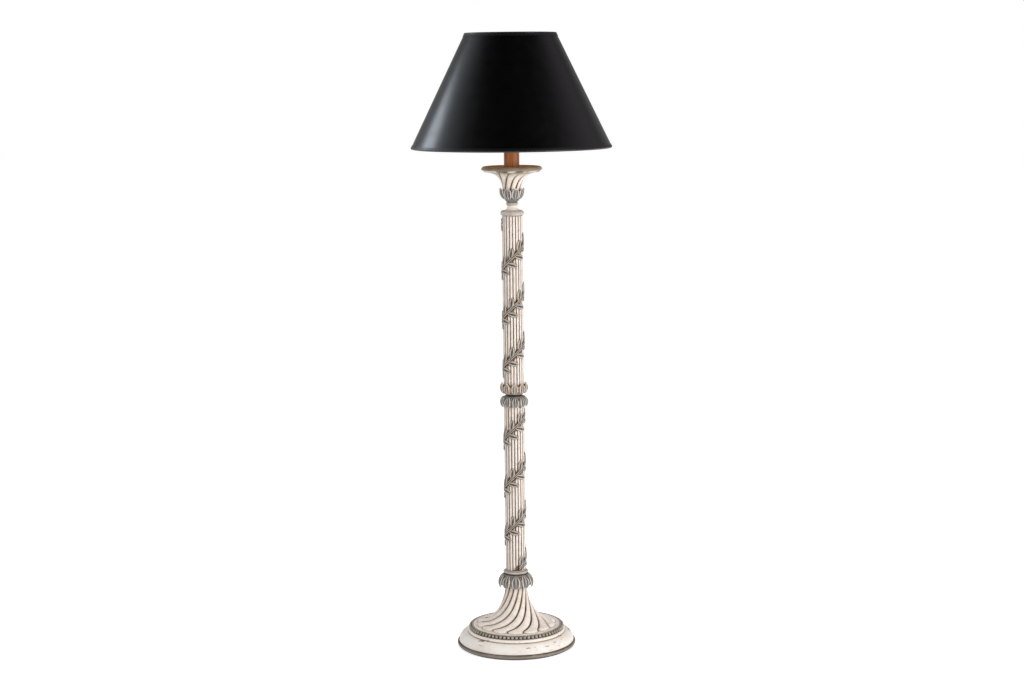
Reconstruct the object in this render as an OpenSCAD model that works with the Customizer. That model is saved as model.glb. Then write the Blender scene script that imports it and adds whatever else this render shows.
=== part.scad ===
// Candlestick floor lamp with a spiral gadrooned foot, a reeded column wound with a leafy vine,
// leaf collars, a fluted drip pan, a candle sleeve and a conical drum shade on a harp.
// Millimetres. Origin at the centre of the foot on the floor, +Z up, front towards -Y.

/* [Foot] */
// Outer radius of the plinth
foot_r = 154; // [145:0.5:165]
// Height of the plinth with its felt
plinth_h = 14; // [12:0.5:18]
// Height of the quarter round moulding with its top ring
moulding_h = 31; // [30:1:38]
// Number of beads in the band
bead_count = 72; // [48:4:76]
// Height of the gadrooned trumpet above the band
trumpet_h = 136; // [115:1:150]
// Number of gadroons
gadroon_count = 14; // [12:1:18]
// Angle that each gadroon sweeps from neck to rim
gadroon_sweep = 80; // [0:5:90]
// Depth of the notches between the gadroons' tips
notch_depth = 13; // [8:0.5:15]

/* [Column] */
// Radius over the reeds
column_r = 26.5; // [25:0.5:28]
// Number of reeds
reed_count = 20; // [16:2:24]
// Visible length of each half of the column
column_h = 428; // [380:1:460]

/* [Leaves] */
// Leaves in each collar of the column
collar_leaves = 10; // [8:1:12]
// Leaves in the cup under the candle
cup_leaves = 9; // [7:1:11]
// Climb of the vine in one turn
vine_pitch = 126; // [110:2:150]
// Leaves on the vine in one turn
vine_leaves = 16; // [8:2:18]
// Length of a vine leaf
leaf_l = 30; // [22:1:32]
// Width of a vine leaf
leaf_w = 11.5; // [8:0.5:13]
// Height of a vine leaf over the reeds
leaf_h = 4.5; // [2.5:0.5:5]

// How far the stem runs ahead of an even climb across the front
vine_sway = 5.5; // [0:0.5:6]

/* [Candle top] */
// Radius of the drip pan
pan_r = 77; // [70:1:82]
// Number of flutes under the drip pan
flute_count = 10; // [8:1:12]
// Radius of the candle sleeve
sleeve_r = 19.6; // [19:0.1:21]
// Length of the candle sleeve
sleeve_h = 74; // [60:0.5:90]

/* [Shade] */
// Outer diameter at the bottom edge
shade_bottom_d = 508; // [480:2:520]
// Outer diameter at the top edge
shade_top_d = 233; // [210:1:250]
// Height of the shade
shade_h = 288; // [270:1:300]
// Depth of the spider's hub below the top edge
hub_drop = 29; // [24:1:34]
// Height of the rolled trims
trim_h = 9.5; // [7:0.5:12]

/* [Fittings] */
// Outer diameter of the threaded lamp pipe
pipe_d = 10.2; // [9.8:0.1:10.4]
// Height of the harp from its saddle to its stud
harp_h = 229; // [215:1:240]
// Inside width of the harp
harp_w = 127; // [115:1:135]
// Diameter of the lamp bulb
bulb_d = 60; // [45:1:60]
// Radius of the cord outlet
cord_r = 3.6; // [3:0.1:4]

/* [Hidden] */
$fn = 96;

cream = [0.90, 0.86, 0.79];
grey = [0.60, 0.59, 0.57];
brass = [0.80, 0.62, 0.30];
steel = [0.62, 0.62, 0.63];

// Heights of the joints between the stacked parts, from the floor up.
felt_t = 2;
z_band = plinth_h + moulding_h;
band_h = 9.4;
z_flange = z_band + band_h;
z_collar = z_flange + trumpet_h;
collar_gap = 2;
z_ring = z_collar + collar_gap;
ring_h = 9;
z_lower = z_ring + ring_h;
z_lower_tips = z_lower + column_h;
collar_h = 28;
waist_h = 7;
waist_lap = 5;
z_waist = z_lower_tips + collar_h;
z_upper = z_waist + waist_h;
z_upper_tips = z_upper + collar_h;
z_top_ring = z_upper_tips + column_h;
top_ring_h = 13.8;
z_neck = z_top_ring + top_ring_h;
neck_h = 12.5;
z_cup_ring = z_neck + neck_h;
cup_ring_h = 9;
z_cup = z_cup_ring + cup_ring_h;
cup_h = 30;
cup_seat_h = 7;
z_flare = z_cup + cup_h - 9;
flare_h = 55;
z_pan = z_flare + flare_h;
pan_h = 13.5;
pan_floor = z_pan + pan_h - 2.5;
z_cap = pan_floor + sleeve_h;
cap_t = 1.6;
z_saddle = z_cap + cap_t;
saddle_t = 1.6;
z_socket = z_saddle + saddle_t;
z_joint = z_waist + waist_h / 2;

// Radii of the pipe and of the holes that it passes through.
pipe_r = pipe_d / 2;
pipe_bore_r = 3.4;
pipe_hole_r = pipe_r + 0.3;
rim_w = 38.8;
cavity_r = foot_r - rim_w;
weight_h = 21;
web_t = 6;
z_web = z_band - web_t;
z_weight = z_web - weight_h;
z_cord = z_weight + 4.5;
moulding_r = 22;

// Shade: its outside radius at any height, and the heights of its parts.
z_stud = z_saddle + harp_h;
z_hub = z_stud + 1.8;
z_shade_top = z_hub + hub_drop;
z_shade = z_shade_top - shade_h;
trim_t = 0.9;
trim_edge_r = 3.4;
shade_slope = (shade_bottom_d - shade_top_d) / 2 / (shade_h - 2 * trim_edge_r);
wall_t = 1.25;
liner_t = 0.3;
wire_r = 1.5;

// Harp: a straight leg, an arc that leans out and an arc that comes back over the bulb.
harp_wire_r = 1.6;
harp_leg_x = 24.2;
harp_leg_h = 28;
z_harp = z_saddle + 3;
harp_top_r = harp_w / 2 + harp_wire_r;
z_leg_end = z_harp + harp_leg_h;
z_bow = z_stud - 0.4 - harp_top_r;
harp_rise = z_bow - z_leg_end;
harp_lean_r = (harp_leg_x * harp_leg_x + harp_rise * harp_rise - harp_top_r * harp_top_r)
    / (2 * (harp_top_r - harp_leg_x));
harp_lean = asin(harp_rise / (harp_lean_r + harp_top_r));
stud_r = 3.15;
seat_r = 9;

// Socket and bulb.
z_switch = z_socket + 25;
z_insert = z_socket + 32;
z_mouth = z_socket + 62;
z_bulb = z_insert + 3;
z_glass = z_mouth + 56;

// ---------------------------------------------------------------- shared shapes

// Outside radius of the shade at height z.
function shade_r(z) = shade_bottom_d / 2 - (z - z_shade - trim_edge_r) * shade_slope;

// Point of a cubic curve with the control points p at t from 0 to 1.
function curve(p, t) = pow(1 - t, 3) * p[0] + 3 * t * pow(1 - t, 2) * p[1]
    + 3 * t * t * (1 - t) * p[2] + pow(t, 3) * p[3];

// Outward unit normal of a profile at its point i, the profile running upwards.
function profile_normal(c, i) =
    let (a = c[max(i - 1, 0)], b = c[min(i + 1, len(c) - 1)], d = b - a)
    [d[1], -d[0]] / norm(d);

// Height of a rounded lobe across its width, 0 in the grooves at u = -1 and 1, and 1 on the crest.
function lobe(u, k = 0.95) = (sqrt(1 - pow(k * u, 2)) - sqrt(1 - k * k)) / (1 - sqrt(1 - k * k));

function mix(a, b, t) = a + (b - a) * t;

// Faces of a tube of rings, each ring counter-clockwise seen from the tube's far end.
function tube_faces(rings, n) = [
    for (i = [0:rings - 2]) for (j = [0:n - 1])
        let (a = i * n + j, b = i * n + (j + 1) % n)
        each [[a, a + n, b + n], [a, b + n, b]]];

// Profile c sunk along its normals by the depths d, and square to the axis at its two ends.
function sunk(c, d) = [for (i = [0:len(c) - 1])
    c[i] - d[i] * (i == 0 || i == len(c) - 1 ? [1, 0] : profile_normal(c, i))];

// A turned body with lobes that sweep round it, turned by the angle a[i] at each row i. The lobes'
// crests follow one profile and the grooves between them another.
module lobed_body(crest, groove, a, lobes, steps) {
    n = lobes * steps;
    rows = len(crest);
    points = [
        for (i = [0:rows - 1]) for (j = [0:n - 1])
            let (
                u = 2 * (j % steps) / steps - 1,
                p = mix(groove[i], crest[i], lobe(u)),
                q = a[i] + 360 * j / n
            )
            [p[0] * cos(q), p[0] * sin(q), p[1]]];
    foot = rows * n;
    foot_z = crest[0][1];
    head_z = crest[rows - 1][1];
    caps = [for (j = [0:n - 1])
        let (k = (j + 1) % n)
        each [[foot, j, k], [foot + 1, (rows - 1) * n + k, (rows - 1) * n + j]]];
    polyhedron(
        points = concat(points, [[0, 0, foot_z], [0, 0, head_z]]),
        faces = concat(tube_faces(rows, n), caps)
    );
}

// One carved leaf that hangs on a bowl: base at the angle "from" of the bowl's section, tip at "to".
// c and r are the section's centre and radius, w the leaf's width, t its thickness and q its turn.
module bowl_leaf(c, r, from, to, w, t, q, carved) {
    rows = carved ? 6 : 5;
    hollow = 1.1;
    curl = 1.2;
    across = carved ? [-1, -0.5, 0, 0.5, 1] : [-1, 0, 1];
    relief = carved ? [0, -hollow, 0.3, -hollow, 0] : [-0.4, 0.3, -0.4];
    n = len(across) + 1;
    points = [for (i = [0:rows - 1])
        let (s = i / (rows - 1), a = mix(from, to, s), half = w / 2 * pow(sin(180 * (0.24 + 0.75 * s)), 0.75))
        for (k = [-1:n - 2])
            let (
                lift = (k < 0 ? -t : relief[k] * (1 - 0.6 * s)) + curl * pow(s, 4),
                ring = c[0] + (r + lift) * cos(a),
                turn = q + (k < 0 ? 0 : across[k] * half) / ring * 180 / PI
            )
            [ring * cos(turn), ring * sin(turn), c[1] + (r + lift) * sin(a)]];
    blade(points, rows, n);
}

// Closed solid from rows of n points, each row clockwise seen from the leaf's tip.
module blade(points, rows, n) {
    sides = [for (i = [0:rows - 2]) for (j = [0:n - 1])
        let (a = i * n + j, b = i * n + (j + 1) % n)
        each [[a, b, b + n], [a, b + n, a + n]]];
    last = (rows - 1) * n;
    root_cap = [for (j = [1:n - 2]) [0, j + 1, j]];
    tip_cap = [for (j = [1:n - 2]) [last, last + j, last + j + 1]];
    polyhedron(points = points, faces = concat(sides, root_cap, tip_cap));
}

// Two rows of drooping leaves, the plain row behind the carved one and half a step round.
module leaf_rows(count, c, r, from, to, w, turn) {
    t = 3;
    for (i = [0:count - 1]) {
        bowl_leaf(c, r, from, to, w, t, turn + 360 * i / count, true);
        bowl_leaf(c, r - 1.6, from, mix(to, from, 0.1), 0.72 * w, t - 1,
                  turn + 360 * (i + 0.5) / count, false);
    }
}

// Hexagonal nut on the lamp pipe.
module pipe_nut(flats, h) {
    difference() {
        cylinder(d = flats / cos(30), h = h, $fn = 6);
        translate([0, 0, -1]) cylinder(r = pipe_r, h = h + 2);
    }
}

module tube(r, bore, h) {
    difference() {
        cylinder(r = r, h = h);
        translate([0, 0, -1]) cylinder(r = bore, h = h + 2);
    }
}

// ---------------------------------------------------------------- foot

module felt_pad() {
    color([0.16, 0.15, 0.14]) cylinder(r = foot_r - 8, h = felt_t);
}

module bottom_plate() {
    plate_t = 2.5;
    color([0.45, 0.34, 0.22]) translate([0, 0, felt_t]) cylinder(r = cavity_r - 0.5, h = plate_t);
}

module base_plinth() {
    h = plinth_h - felt_t;
    nose_r = h / 2;
    color(grey) translate([0, 0, felt_t]) rotate_extrude() {
        translate([foot_r - nose_r, nose_r]) circle(nose_r);
        translate([cavity_r, 0]) square([foot_r - nose_r - cavity_r, h]);
    }
}

// Quarter round with a torus ring over it, hollow below for the weight, open at the back for the cord.
module base_moulding() {
    shoulder_r = cavity_r + 12;
    ring_r = (moulding_h - moulding_r) / 2;
    ring_c = shoulder_r - 1 - ring_r;
    seat_y = foot_r - 13;
    color(cream) difference() {
        rotate_extrude() {
            intersection() {
                translate([shoulder_r, plinth_h]) circle(moulding_r);
                translate([shoulder_r - 2, plinth_h]) square(moulding_r + 4);
            }
            translate([cavity_r, plinth_h]) square([12, moulding_r]);
            translate([ring_c, z_band - ring_r]) circle(ring_r);
            translate([pipe_hole_r, z_web]) square([ring_c - pipe_hole_r, web_t]);
            translate([cavity_r, plinth_h + moulding_r - 1])
                square([ring_c - cavity_r, moulding_h - moulding_r + 1]);
        }
        translate([0, cavity_r - 5, z_cord]) rotate([-90, 0, 0]) cylinder(r = 5.2, h = 60);
        translate([0, seat_y, z_cord]) rotate([-90, 0, 0]) cylinder(r = 7.3, h = 40);
    }
}

module base_weight() {
    channel_w = 10;
    channel_h = 9;
    color([0.22, 0.22, 0.23]) difference() {
        translate([0, 0, z_weight]) cylinder(r = cavity_r - 4, h = weight_h);
        translate([0, 0, z_weight - 1]) cylinder(r = pipe_hole_r, h = weight_h + 2);
        translate([-channel_w / 2, 8, z_weight - 1]) cube([channel_w, cavity_r, channel_h + 1]);
    }
}

module base_washer() {
    color(steel) translate([0, 0, z_weight - 2]) tube(16, pipe_hole_r, 2);
}

module base_nut() {
    color(steel) translate([0, 0, z_weight - 8]) pipe_nut(17, 6);
}

module cord_grommet() {
    inner_y = cavity_r;
    seat_y = foot_r - 13;
    flange_t = 2.5;
    color([0.08, 0.08, 0.08]) translate([0, 0, z_cord]) rotate([-90, 0, 0]) difference() {
        union() {
            translate([0, 0, inner_y]) cylinder(r = 5.2, h = seat_y - inner_y);
            translate([0, 0, seat_y]) cylinder(r = 7.1, h = flange_t);
        }
        translate([0, 0, inner_y - 1]) cylinder(r = cord_r, h = 60);
    }
}

// Grey band of round beads between the moulding and the trumpet's flange.
module bead_band() {
    flange_r = cavity_r - 3;
    bead_r = 4.1;
    bead_c = flange_r + 7.4;
    color(grey) {
        difference() {
            translate([0, 0, z_band]) cylinder(r = flange_r + 5, h = band_h);
            translate([0, 0, z_band - 1]) cylinder(r = flange_r, h = band_h + 2);
        }
        for (i = [0:bead_count - 1])
            rotate([0, 0, 360 * i / bead_count])
                translate([bead_c, 0, z_band + band_h / 2]) sphere(bead_r, $fn = 20);
    }
}

// Flat turned flange inside the bead band, under the trumpet.
module trumpet_flange() {
    color(cream) translate([0, 0, z_band]) tube(cavity_r - 3, pipe_hole_r, band_h);
}

// Trumpet whose convex gadroons run down the neck and sweep out to rounded tips on the flange.
module base_trumpet() {
    tip_r = cavity_r - 12;
    notch_r = tip_r - notch_depth;
    neck_r = column_r + 2;
    neck_h = 98;
    neck_turn = 1;
    groove_d = 1.4;
    steps = 10;
    nose = [[tip_r, z_flange], [tip_r - 0.8, z_flange + 2.8], [tip_r - 3.6, z_flange + 5.4]];
    notch = [[notch_r, z_flange], [notch_r - 0.5, z_flange + 0.7], [notch_r - 1, z_flange + 1.4]];
    ridge = [[tip_r - 8, z_flange + 6.5], [62, z_flange + 13], [33.5, z_flange + 45],
             [neck_r, z_flange + neck_h]];
    valley = [[notch_r - 1.5, z_flange + 2.1], [58, z_flange + 6], [31.5, z_flange + 42],
              [neck_r - groove_d, z_flange + neck_h]];
    crest = concat(nose, [for (i = [0:steps]) curve(ridge, i / steps)],
                   [[neck_r - 1.5, z_collar]]);
    groove = concat(notch, [for (i = [0:steps]) curve(valley, i / steps)],
                    [[neck_r - 1.5 - groove_d, z_collar]]);
    angles = [for (i = [0:len(crest) - 1])
        let (t = min(max(i - 3, 0) / steps, 1)) neck_turn - gadroon_sweep * (1 - t)];
    color(cream) difference() {
        lobed_body(crest, groove, angles, gadroon_count, 8);
        translate([0, 0, z_band]) cylinder(r = pipe_hole_r, h = trumpet_h + band_h + 2);
    }
}

// ---------------------------------------------------------------- column

// Collar of drooping leaves that hang from a ring round the trumpet's neck.
module lower_leaf_collar() {
    c = [25.6, z_collar - 21.6];
    color(grey) {
        leaf_rows(collar_leaves, c, 20.4, 68, -40, 23, -90);
        translate([0, 0, z_collar - 5.5]) tube(33, column_r + 2.2, 4.5);
    }
}

// Thin ring that the reeds stand on.
module lower_collar_ring() {
    r = 32.4;
    bead_r = 3;
    color(grey) rotate_extrude() {
        translate([pipe_hole_r, z_collar]) square([column_r - pipe_hole_r - 1, collar_gap + ring_h]);
        translate([column_r - 1.5, z_ring]) square([r - bead_r - column_r + 1.5, 2 * bead_r]);
        translate([r - bead_r, z_ring + bead_r]) circle(bead_r);
        translate([column_r - 1.5, z_ring + bead_r]) square([2.2, ring_h - bead_r]);
    }
}

// Shaft of half-round reeds round a core, from z to z + h, bored for the pipe and its coupling.
module reeded_shaft(z, h, coupling_z) {
    core_r = column_r - 2.6;
    reed_r = PI * core_r / reed_count;
    color(cream) difference() {
        translate([0, 0, z]) linear_extrude(h) {
            circle(core_r);
            for (i = [0:reed_count - 1])
                rotate(360 * (i + 0.5) / reed_count)
                    translate([column_r - reed_r, 0]) circle(reed_r, $fn = 24);
        }
        translate([0, 0, z - 1]) cylinder(r = pipe_hole_r, h = h + 2);
        translate([0, 0, coupling_z]) cylinder(r = 8.1, h = 13);
    }
}

module lower_column() {
    reeded_shaft(z_lower, z_waist - waist_lap - z_lower, z_waist - 12);
}

module upper_column() {
    reeded_shaft(z_upper + waist_lap, z_top_ring - z_upper - waist_lap, z_upper - 1);
}

// One carved leaf that wraps the column: root at angle q and height z, lean in degrees from level.
module vine_leaf(q, z, lean) {
    rows = 5;
    sunk_r = column_r - 3.4;
    across = [-1, -0.5, 0, 0.5, 1];
    relief = [0.1, 0.95, 0.62, 0.95, 0.1];
    points = [for (i = [0:rows - 1])
        let (
            s = i / (rows - 1),
            half = max(leaf_w / 2 * sin(180 * pow(s * 0.93 + 0.05, 0.85)), 0.25),
            rise = leaf_h * mix(0.6, 1, sin(150 * s)) * (1 - 0.45 * s)
        )
        each [
            for (k = [-1:4])
                let (
                    v = k < 0 ? 0 : across[k] * half,
                    r = k < 0 ? sunk_r : mix(column_r - 1.6, column_r + rise, relief[k]),
                    along = s * leaf_l,
                    turn = (along * cos(lean) - v * sin(lean)) / column_r * 180 / PI
                )
                [r * cos(q + turn), r * sin(q + turn), z + along * sin(lean) + v * cos(lean)]]];
    blade(points, rows, len(across) + 1);
}

// Height of the stem that starts at angle q and height z, after t turns.
function stem_z(q, z, t) = z + vine_pitch * t + vine_sway * cos(q + 360 * t);

// Stem that climbs the column from z by a number of turns, starting at angle q.
module vine_stem(q, z, turns) {
    stem_r = 2.6;
    path_r = column_r + 0.6;
    sides = 6;
    steps = round(20 * turns);
    climb = atan(vine_pitch / (2 * PI * path_r));
    points = [for (i = [0:steps])
        let (
            a = q + 360 * turns * i / steps,
            out = [cos(a), sin(a), 0],
            along = [-sin(a) * cos(climb), cos(a) * cos(climb), sin(climb)],
            side = cross(along, out),
            centre = path_r * out + [0, 0, stem_z(q, z, turns * i / steps)]
        )
        for (j = [0:sides - 1])
            centre + stem_r * (cos(360 * j / sides) * out + sin(360 * j / sides) * side)];
    last = steps * sides;
    root_cap = [for (j = [1:sides - 2]) [0, j, j + 1]];
    tip_cap = [for (j = [1:sides - 2]) [last, last + j + 1, last + j]];
    polyhedron(points = points, faces = concat(tube_faces(steps + 1, sides), root_cap, tip_cap));
}

// Vine with its leaves in pairs, one up and one down, from angle q and height z to below z_top.
module vine(q, z, turns, z_top) {
    up = 82;
    down = -8;
    count = floor(turns * vine_leaves);
    color(grey) {
        vine_stem(q, z, turns);
        for (i = [0:count - 1])
            let (t = (i + 0.4) / vine_leaves, z_leaf = stem_z(q, z, t), rises = i % 2 == 0)
            if (!rises || z_leaf + leaf_l < z_top)
                vine_leaf(q + 360 * t, z_leaf, rises ? up : down);
        vine_leaf(q + 360 * turns - 4, stem_z(q, z, turns) - 1, 35);
    }
}

module lower_vine() {
    vine(-72, z_lower + 3.7, 3.17, z_lower_tips);
}

module upper_vine() {
    vine(68, z_upper_tips + 1, 3.25, z_top_ring);
}

// ---------------------------------------------------------------- middle collar

// Two rows of leaves that hang over the end of a column at height z.
module mid_leaves(z, turn) {
    c = [22, z - 14];
    bore_r = 21.3;
    rim_h = 1;
    color(grey) {
        leaf_rows(collar_leaves, c, 14.5, 66, -57, 17, turn);
        translate([0, 0, z - waist_lap]) {
            tube(28, bore_r, waist_lap - 1.8);
            tube(24.5, bore_r, waist_lap + rim_h);
        }
    }
}

module mid_leaves_lower() {
    mid_leaves(z_waist, -84);
}

// Turned waist between the two halves of the column, with a cove round its middle.
module mid_waist() {
    waist_r = 21.2;
    bore_r = 8.1;
    cove_r = 2.6;
    h = waist_h + 2 * waist_lap;
    color(grey) rotate_extrude() difference() {
        translate([bore_r, z_waist - waist_lap]) square([waist_r - bore_r, h]);
        translate([waist_r + 1, z_waist + waist_h / 2]) circle(cove_r);
    }
}

module mid_leaves_upper() {
    translate([0, 0, z_upper + z_waist]) mirror([0, 0, 1]) mid_leaves(z_waist, -87);
}

// ---------------------------------------------------------------- candle top

module column_top_ring() {
    r = 29.9;
    nose_r = top_ring_h / 2;
    color(grey) rotate_extrude() {
        translate([r - nose_r, z_top_ring + nose_r]) circle(nose_r);
        translate([pipe_hole_r, z_top_ring]) square([r - nose_r - pipe_hole_r, top_ring_h]);
    }
}

module neck_spool() {
    foot_r = 20;
    waist_r = 12.5;
    cove_r = 9;
    color(cream) rotate_extrude() difference() {
        translate([pipe_hole_r, z_neck]) square([foot_r - pipe_hole_r, neck_h]);
        translate([waist_r + cove_r, z_neck + cove_r + 0.5]) circle(cove_r);
    }
}

module cup_ring() {
    nose_r = 3.2;
    r = 15.8;
    color(grey) rotate_extrude() {
        translate([r - nose_r, z_cup_ring + 4]) circle(nose_r);
        translate([pipe_hole_r, z_cup_ring]) square([r - nose_r - pipe_hole_r, cup_ring_h]);
    }
}

// Cup of upright leaves that holds the fluted flare.
module leaf_cup() {
    c = [10.5, z_cup + 24.5];
    foot_r = 14.5;
    seat_r = 20;
    color(grey) {
        translate([0, 0, 2 * c[1]]) mirror([0, 0, 1]) leaf_rows(cup_leaves, c, 21, 64, -27, 21, -72);
        difference() {
            translate([0, 0, z_cup]) cylinder(r1 = foot_r, r2 = seat_r, h = cup_seat_h);
            translate([0, 0, z_cup - 1]) cylinder(r = pipe_hole_r, h = cup_seat_h + 2);
        }
    }
}

// Bell of flutes that turns as it opens towards the pan.
module spiral_flare() {
    sweep = 56;
    steps = 10;
    controls = [[22.5, z_flare], [24, z_flare + 30], [31, z_pan - 4.5], [pan_r - 12, z_pan - 1.5]];
    crest = concat([[15, z_cup + cup_seat_h]], [for (i = [0:steps]) curve(controls, i / steps)],
                   [[pan_r - 8, z_pan]]);
    last = len(crest) - 1;
    depths = [for (i = [0:last]) 0.6 + 2.9 * sin(180 * i / last)];
    angles = [for (i = [0:last]) sweep * i / last];
    color(cream) difference() {
        lobed_body(crest, sunk(crest, depths), angles, flute_count, 8);
        translate([0, 0, z_cup]) cylinder(r = pipe_hole_r, h = 100);
    }
}

// Drip pan with a quarter round rim, cut back below it, and a shallow dish.
module drip_pan() {
    nose_r = 7.5;
    nose_c = [pan_r - nose_r, pan_h - nose_r];
    lip_r = pan_r - 7;
    dish_r = pan_r - 14;
    dish_h = pan_floor - z_pan;
    color([0.48, 0.40, 0.30]) translate([0, 0, z_pan]) rotate_extrude() {
        intersection() {
            translate(nose_c) circle(nose_r);
            translate(nose_c - [2, 1]) square(nose_r + 4);
        }
        polygon([
            [pipe_hole_r, 0], [lip_r, 0], [lip_r + 0.3, 1], [pan_r - 0.2, nose_c[1] - 0.8],
            nose_c, [nose_c[0], pan_h], [dish_r, pan_h], [dish_r - 3, dish_h],
            [pipe_hole_r, dish_h]]);
    }
}

module pan_nut() {
    color(steel) translate([0, 0, pan_floor]) pipe_nut(17, 5);
}

module candle_sleeve() {
    color([0.83, 0.58, 0.30]) translate([0, 0, pan_floor]) tube(sleeve_r, sleeve_r - 1.6, sleeve_h);
}

module sleeve_cap() {
    skirt_h = 7;
    color(brass) {
        translate([0, 0, z_cap]) tube(sleeve_r + 0.8, pipe_hole_r, cap_t);
        translate([0, 0, z_cap - skirt_h]) tube(sleeve_r - 1.7, sleeve_r - 3, skirt_h + 0.5);
    }
}

// ---------------------------------------------------------------- pipe

module lamp_pipe_lower() {
    z = z_weight - 11;
    color(steel) translate([0, 0, z]) tube(pipe_r, pipe_bore_r, z_joint - z);
}

module pipe_coupling() {
    h = 22;
    color(steel) translate([0, 0, z_joint - h / 2]) tube(7.8, pipe_r, h);
}

module lamp_pipe_upper() {
    color(steel) translate([0, 0, z_joint]) tube(pipe_r, pipe_bore_r, z_socket + 9 - z_joint);
}

// ---------------------------------------------------------------- harp and socket

// Strip that holds the harp: flat on the sleeve's cap, turned up at both ends.
module harp_saddle() {
    strip_w = 12;
    tab_w = 7.5;
    tab_h = 13;
    reach = harp_leg_x - harp_wire_r;
    color(steel) {
        difference() {
            union() {
                translate([-reach, -strip_w / 2, z_saddle]) cube([2 * reach, strip_w, saddle_t]);
                translate([0, 0, z_saddle]) cylinder(r = 13, h = saddle_t);
            }
            translate([0, 0, z_saddle - 1]) cylinder(r = pipe_hole_r, h = 4);
        }
        for (side = [-1, 1])
            translate([side * (reach - saddle_t / 2), 0, z_saddle + tab_h / 2 + 0.5])
                cube([saddle_t, tab_w, tab_h + 1], center = true);
    }
}

// Bent part of the harp in the XZ plane: a piece of a ring of wire round the point c.
module wire_arc(c, r, from, angle) {
    translate([c[0], 0, c[1]]) rotate([90, 0, 0]) rotate([0, 0, from])
        rotate_extrude(angle = angle) translate([r, 0]) circle(harp_wire_r, $fn = 24);
}

// One side of the harp, each joint of its arcs rounded by a ball.
module harp_side() {
    joint_r = harp_wire_r * 1.08;
    bend_x = harp_top_r * cos(harp_lean);
    bend_z = z_bow - harp_top_r * sin(harp_lean);
    translate([harp_leg_x, 0, z_harp]) cylinder(r = harp_wire_r, h = harp_leg_h, $fn = 24);
    translate([harp_leg_x, 0, z_leg_end]) sphere(joint_r, $fn = 24);
    wire_arc([harp_leg_x + harp_lean_r, z_leg_end], harp_lean_r, 180 - harp_lean, harp_lean);
    translate([bend_x, 0, bend_z]) sphere(joint_r, $fn = 24);
    wire_arc([0, z_bow], harp_top_r, -harp_lean, 90 + harp_lean);
}

module harp() {
    stud_h = 17;
    color(brass) {
        harp_side();
        mirror([1, 0, 0]) harp_side();
        translate([0, 0, z_stud - 2.2]) cylinder(r = seat_r, h = 3.7);
        translate([0, 0, z_stud]) cylinder(r = stud_r, h = stud_h);
    }
}

// Oval sleeve that locks a harp leg to its tab, and lifts to let it go.
module ferrule() {
    wall = 0.8;
    gap = 0.3;
    h = 12;
    inner_x = harp_leg_x - harp_wire_r - saddle_t - gap;
    outer_x = harp_leg_x + harp_wire_r + gap;
    half_y = 3.75 + gap;
    color(brass) translate([0, 0, z_socket + gap]) difference() {
        translate([inner_x - wall, -half_y - wall, 0])
            cube([outer_x - inner_x + 2 * wall, 2 * (half_y + wall), h]);
        translate([inner_x, -half_y, -1]) cube([outer_x - inner_x, 2 * half_y, h + 2]);
    }
}

module ferrule_left() {
    mirror([1, 0, 0]) ferrule();
}

module ferrule_right() {
    ferrule();
}

// Bell that screws on the pipe and takes the socket's shell.
module socket_cap() {
    color(brass) translate([0, 0, z_socket]) rotate_extrude() difference() {
        polygon([[pipe_r, 0], [8.5, 0], [9.5, 4], [13, 8], [16.2, 12], [17.7, 15], [17.7, 20],
                 [pipe_r, 20]]);
        polygon([[pipe_r + 3, 6], [9.8, 6], [12.4, 9], [15.2, 12.6], [16.9, 15.4], [16.9, 21],
                 [pipe_r - 1, 21], [pipe_r - 1, 9], [pipe_r + 3, 9]]);
    }
}

module socket_shell() {
    r = 16.9;
    wall = 0.7;
    color(brass) difference() {
        rotate_extrude() {
            translate([r - wall, z_socket + 15.5]) square([wall, z_mouth - z_socket - 15.5]);
            translate([r, z_mouth - 0.9]) circle(0.9, $fn = 24);
        }
        translate([0, 0, z_switch]) rotate([90, 0, 0]) cylinder(r = 3.4, h = 30);
    }
}

module socket_liner() {
    r = 16.1;
    color([0.55, 0.42, 0.28]) difference() {
        translate([0, 0, z_socket + 16.5]) tube(r, r - 0.7, z_mouth - z_socket - 17.5);
        translate([0, 0, z_switch]) rotate([90, 0, 0]) cylinder(r = 3.4, h = 30);
    }
}

// Moulded insert with the switch, and the wall round the screw shell.
module socket_body() {
    r = 15.3;
    color([0.12, 0.10, 0.09]) difference() {
        translate([0, 0, z_socket + 17]) cylinder(r = r, h = z_mouth - z_socket - 23);
        translate([0, 0, z_insert]) cylinder(r = 14.4, h = 40);
        translate([0, 0, z_switch]) rotate([90, 0, 0]) cylinder(r = 1.86, h = 30);
        translate([0, 0, z_socket + 16]) cylinder(r = 4, h = 5);
    }
}

module socket_screw_shell() {
    r = 14.4;
    h = z_mouth - z_insert - 6.5;
    pitch = 3.6;
    color(brass) translate([0, 0, z_insert]) rotate_extrude() difference() {
        square([r, h]);
        translate([-1, 0.8]) square([r + 0.3, h]);
        for (i = [0:5]) translate([r + 0.55, 3 + i * pitch]) circle(1, $fn = 24);
    }
}

module socket_contact() {
    color(brass) translate([0, 0, z_insert + 0.8]) {
        cylinder(r = 4, h = 0.8);
        translate([0, 0, 0.8]) cylinder(r1 = 3, r2 = 2, h = 0.8);
    }
}

module switch_stem() {
    color(brass) translate([0, -1, z_switch]) rotate([90, 0, 0]) cylinder(r = 1.8, h = 33);
}

// Turn key: a flat thumb piece on a round hub.
module switch_knob() {
    color([0.10, 0.09, 0.08]) translate([0, 0, z_switch]) rotate([90, 0, 0]) difference() {
        union() {
            translate([0, 0, 22]) cylinder(r = 4, h = 5);
            intersection() {
                translate([-8, -2.4, 25]) cube([16, 4.8, 14]);
                translate([0, 0, 27]) rotate([90, 0, 0]) cylinder(r = 9, h = 10, center = true);
            }
        }
        translate([0, 0, 21]) cylinder(r = 1.8, h = 13);
    }
}

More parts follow.
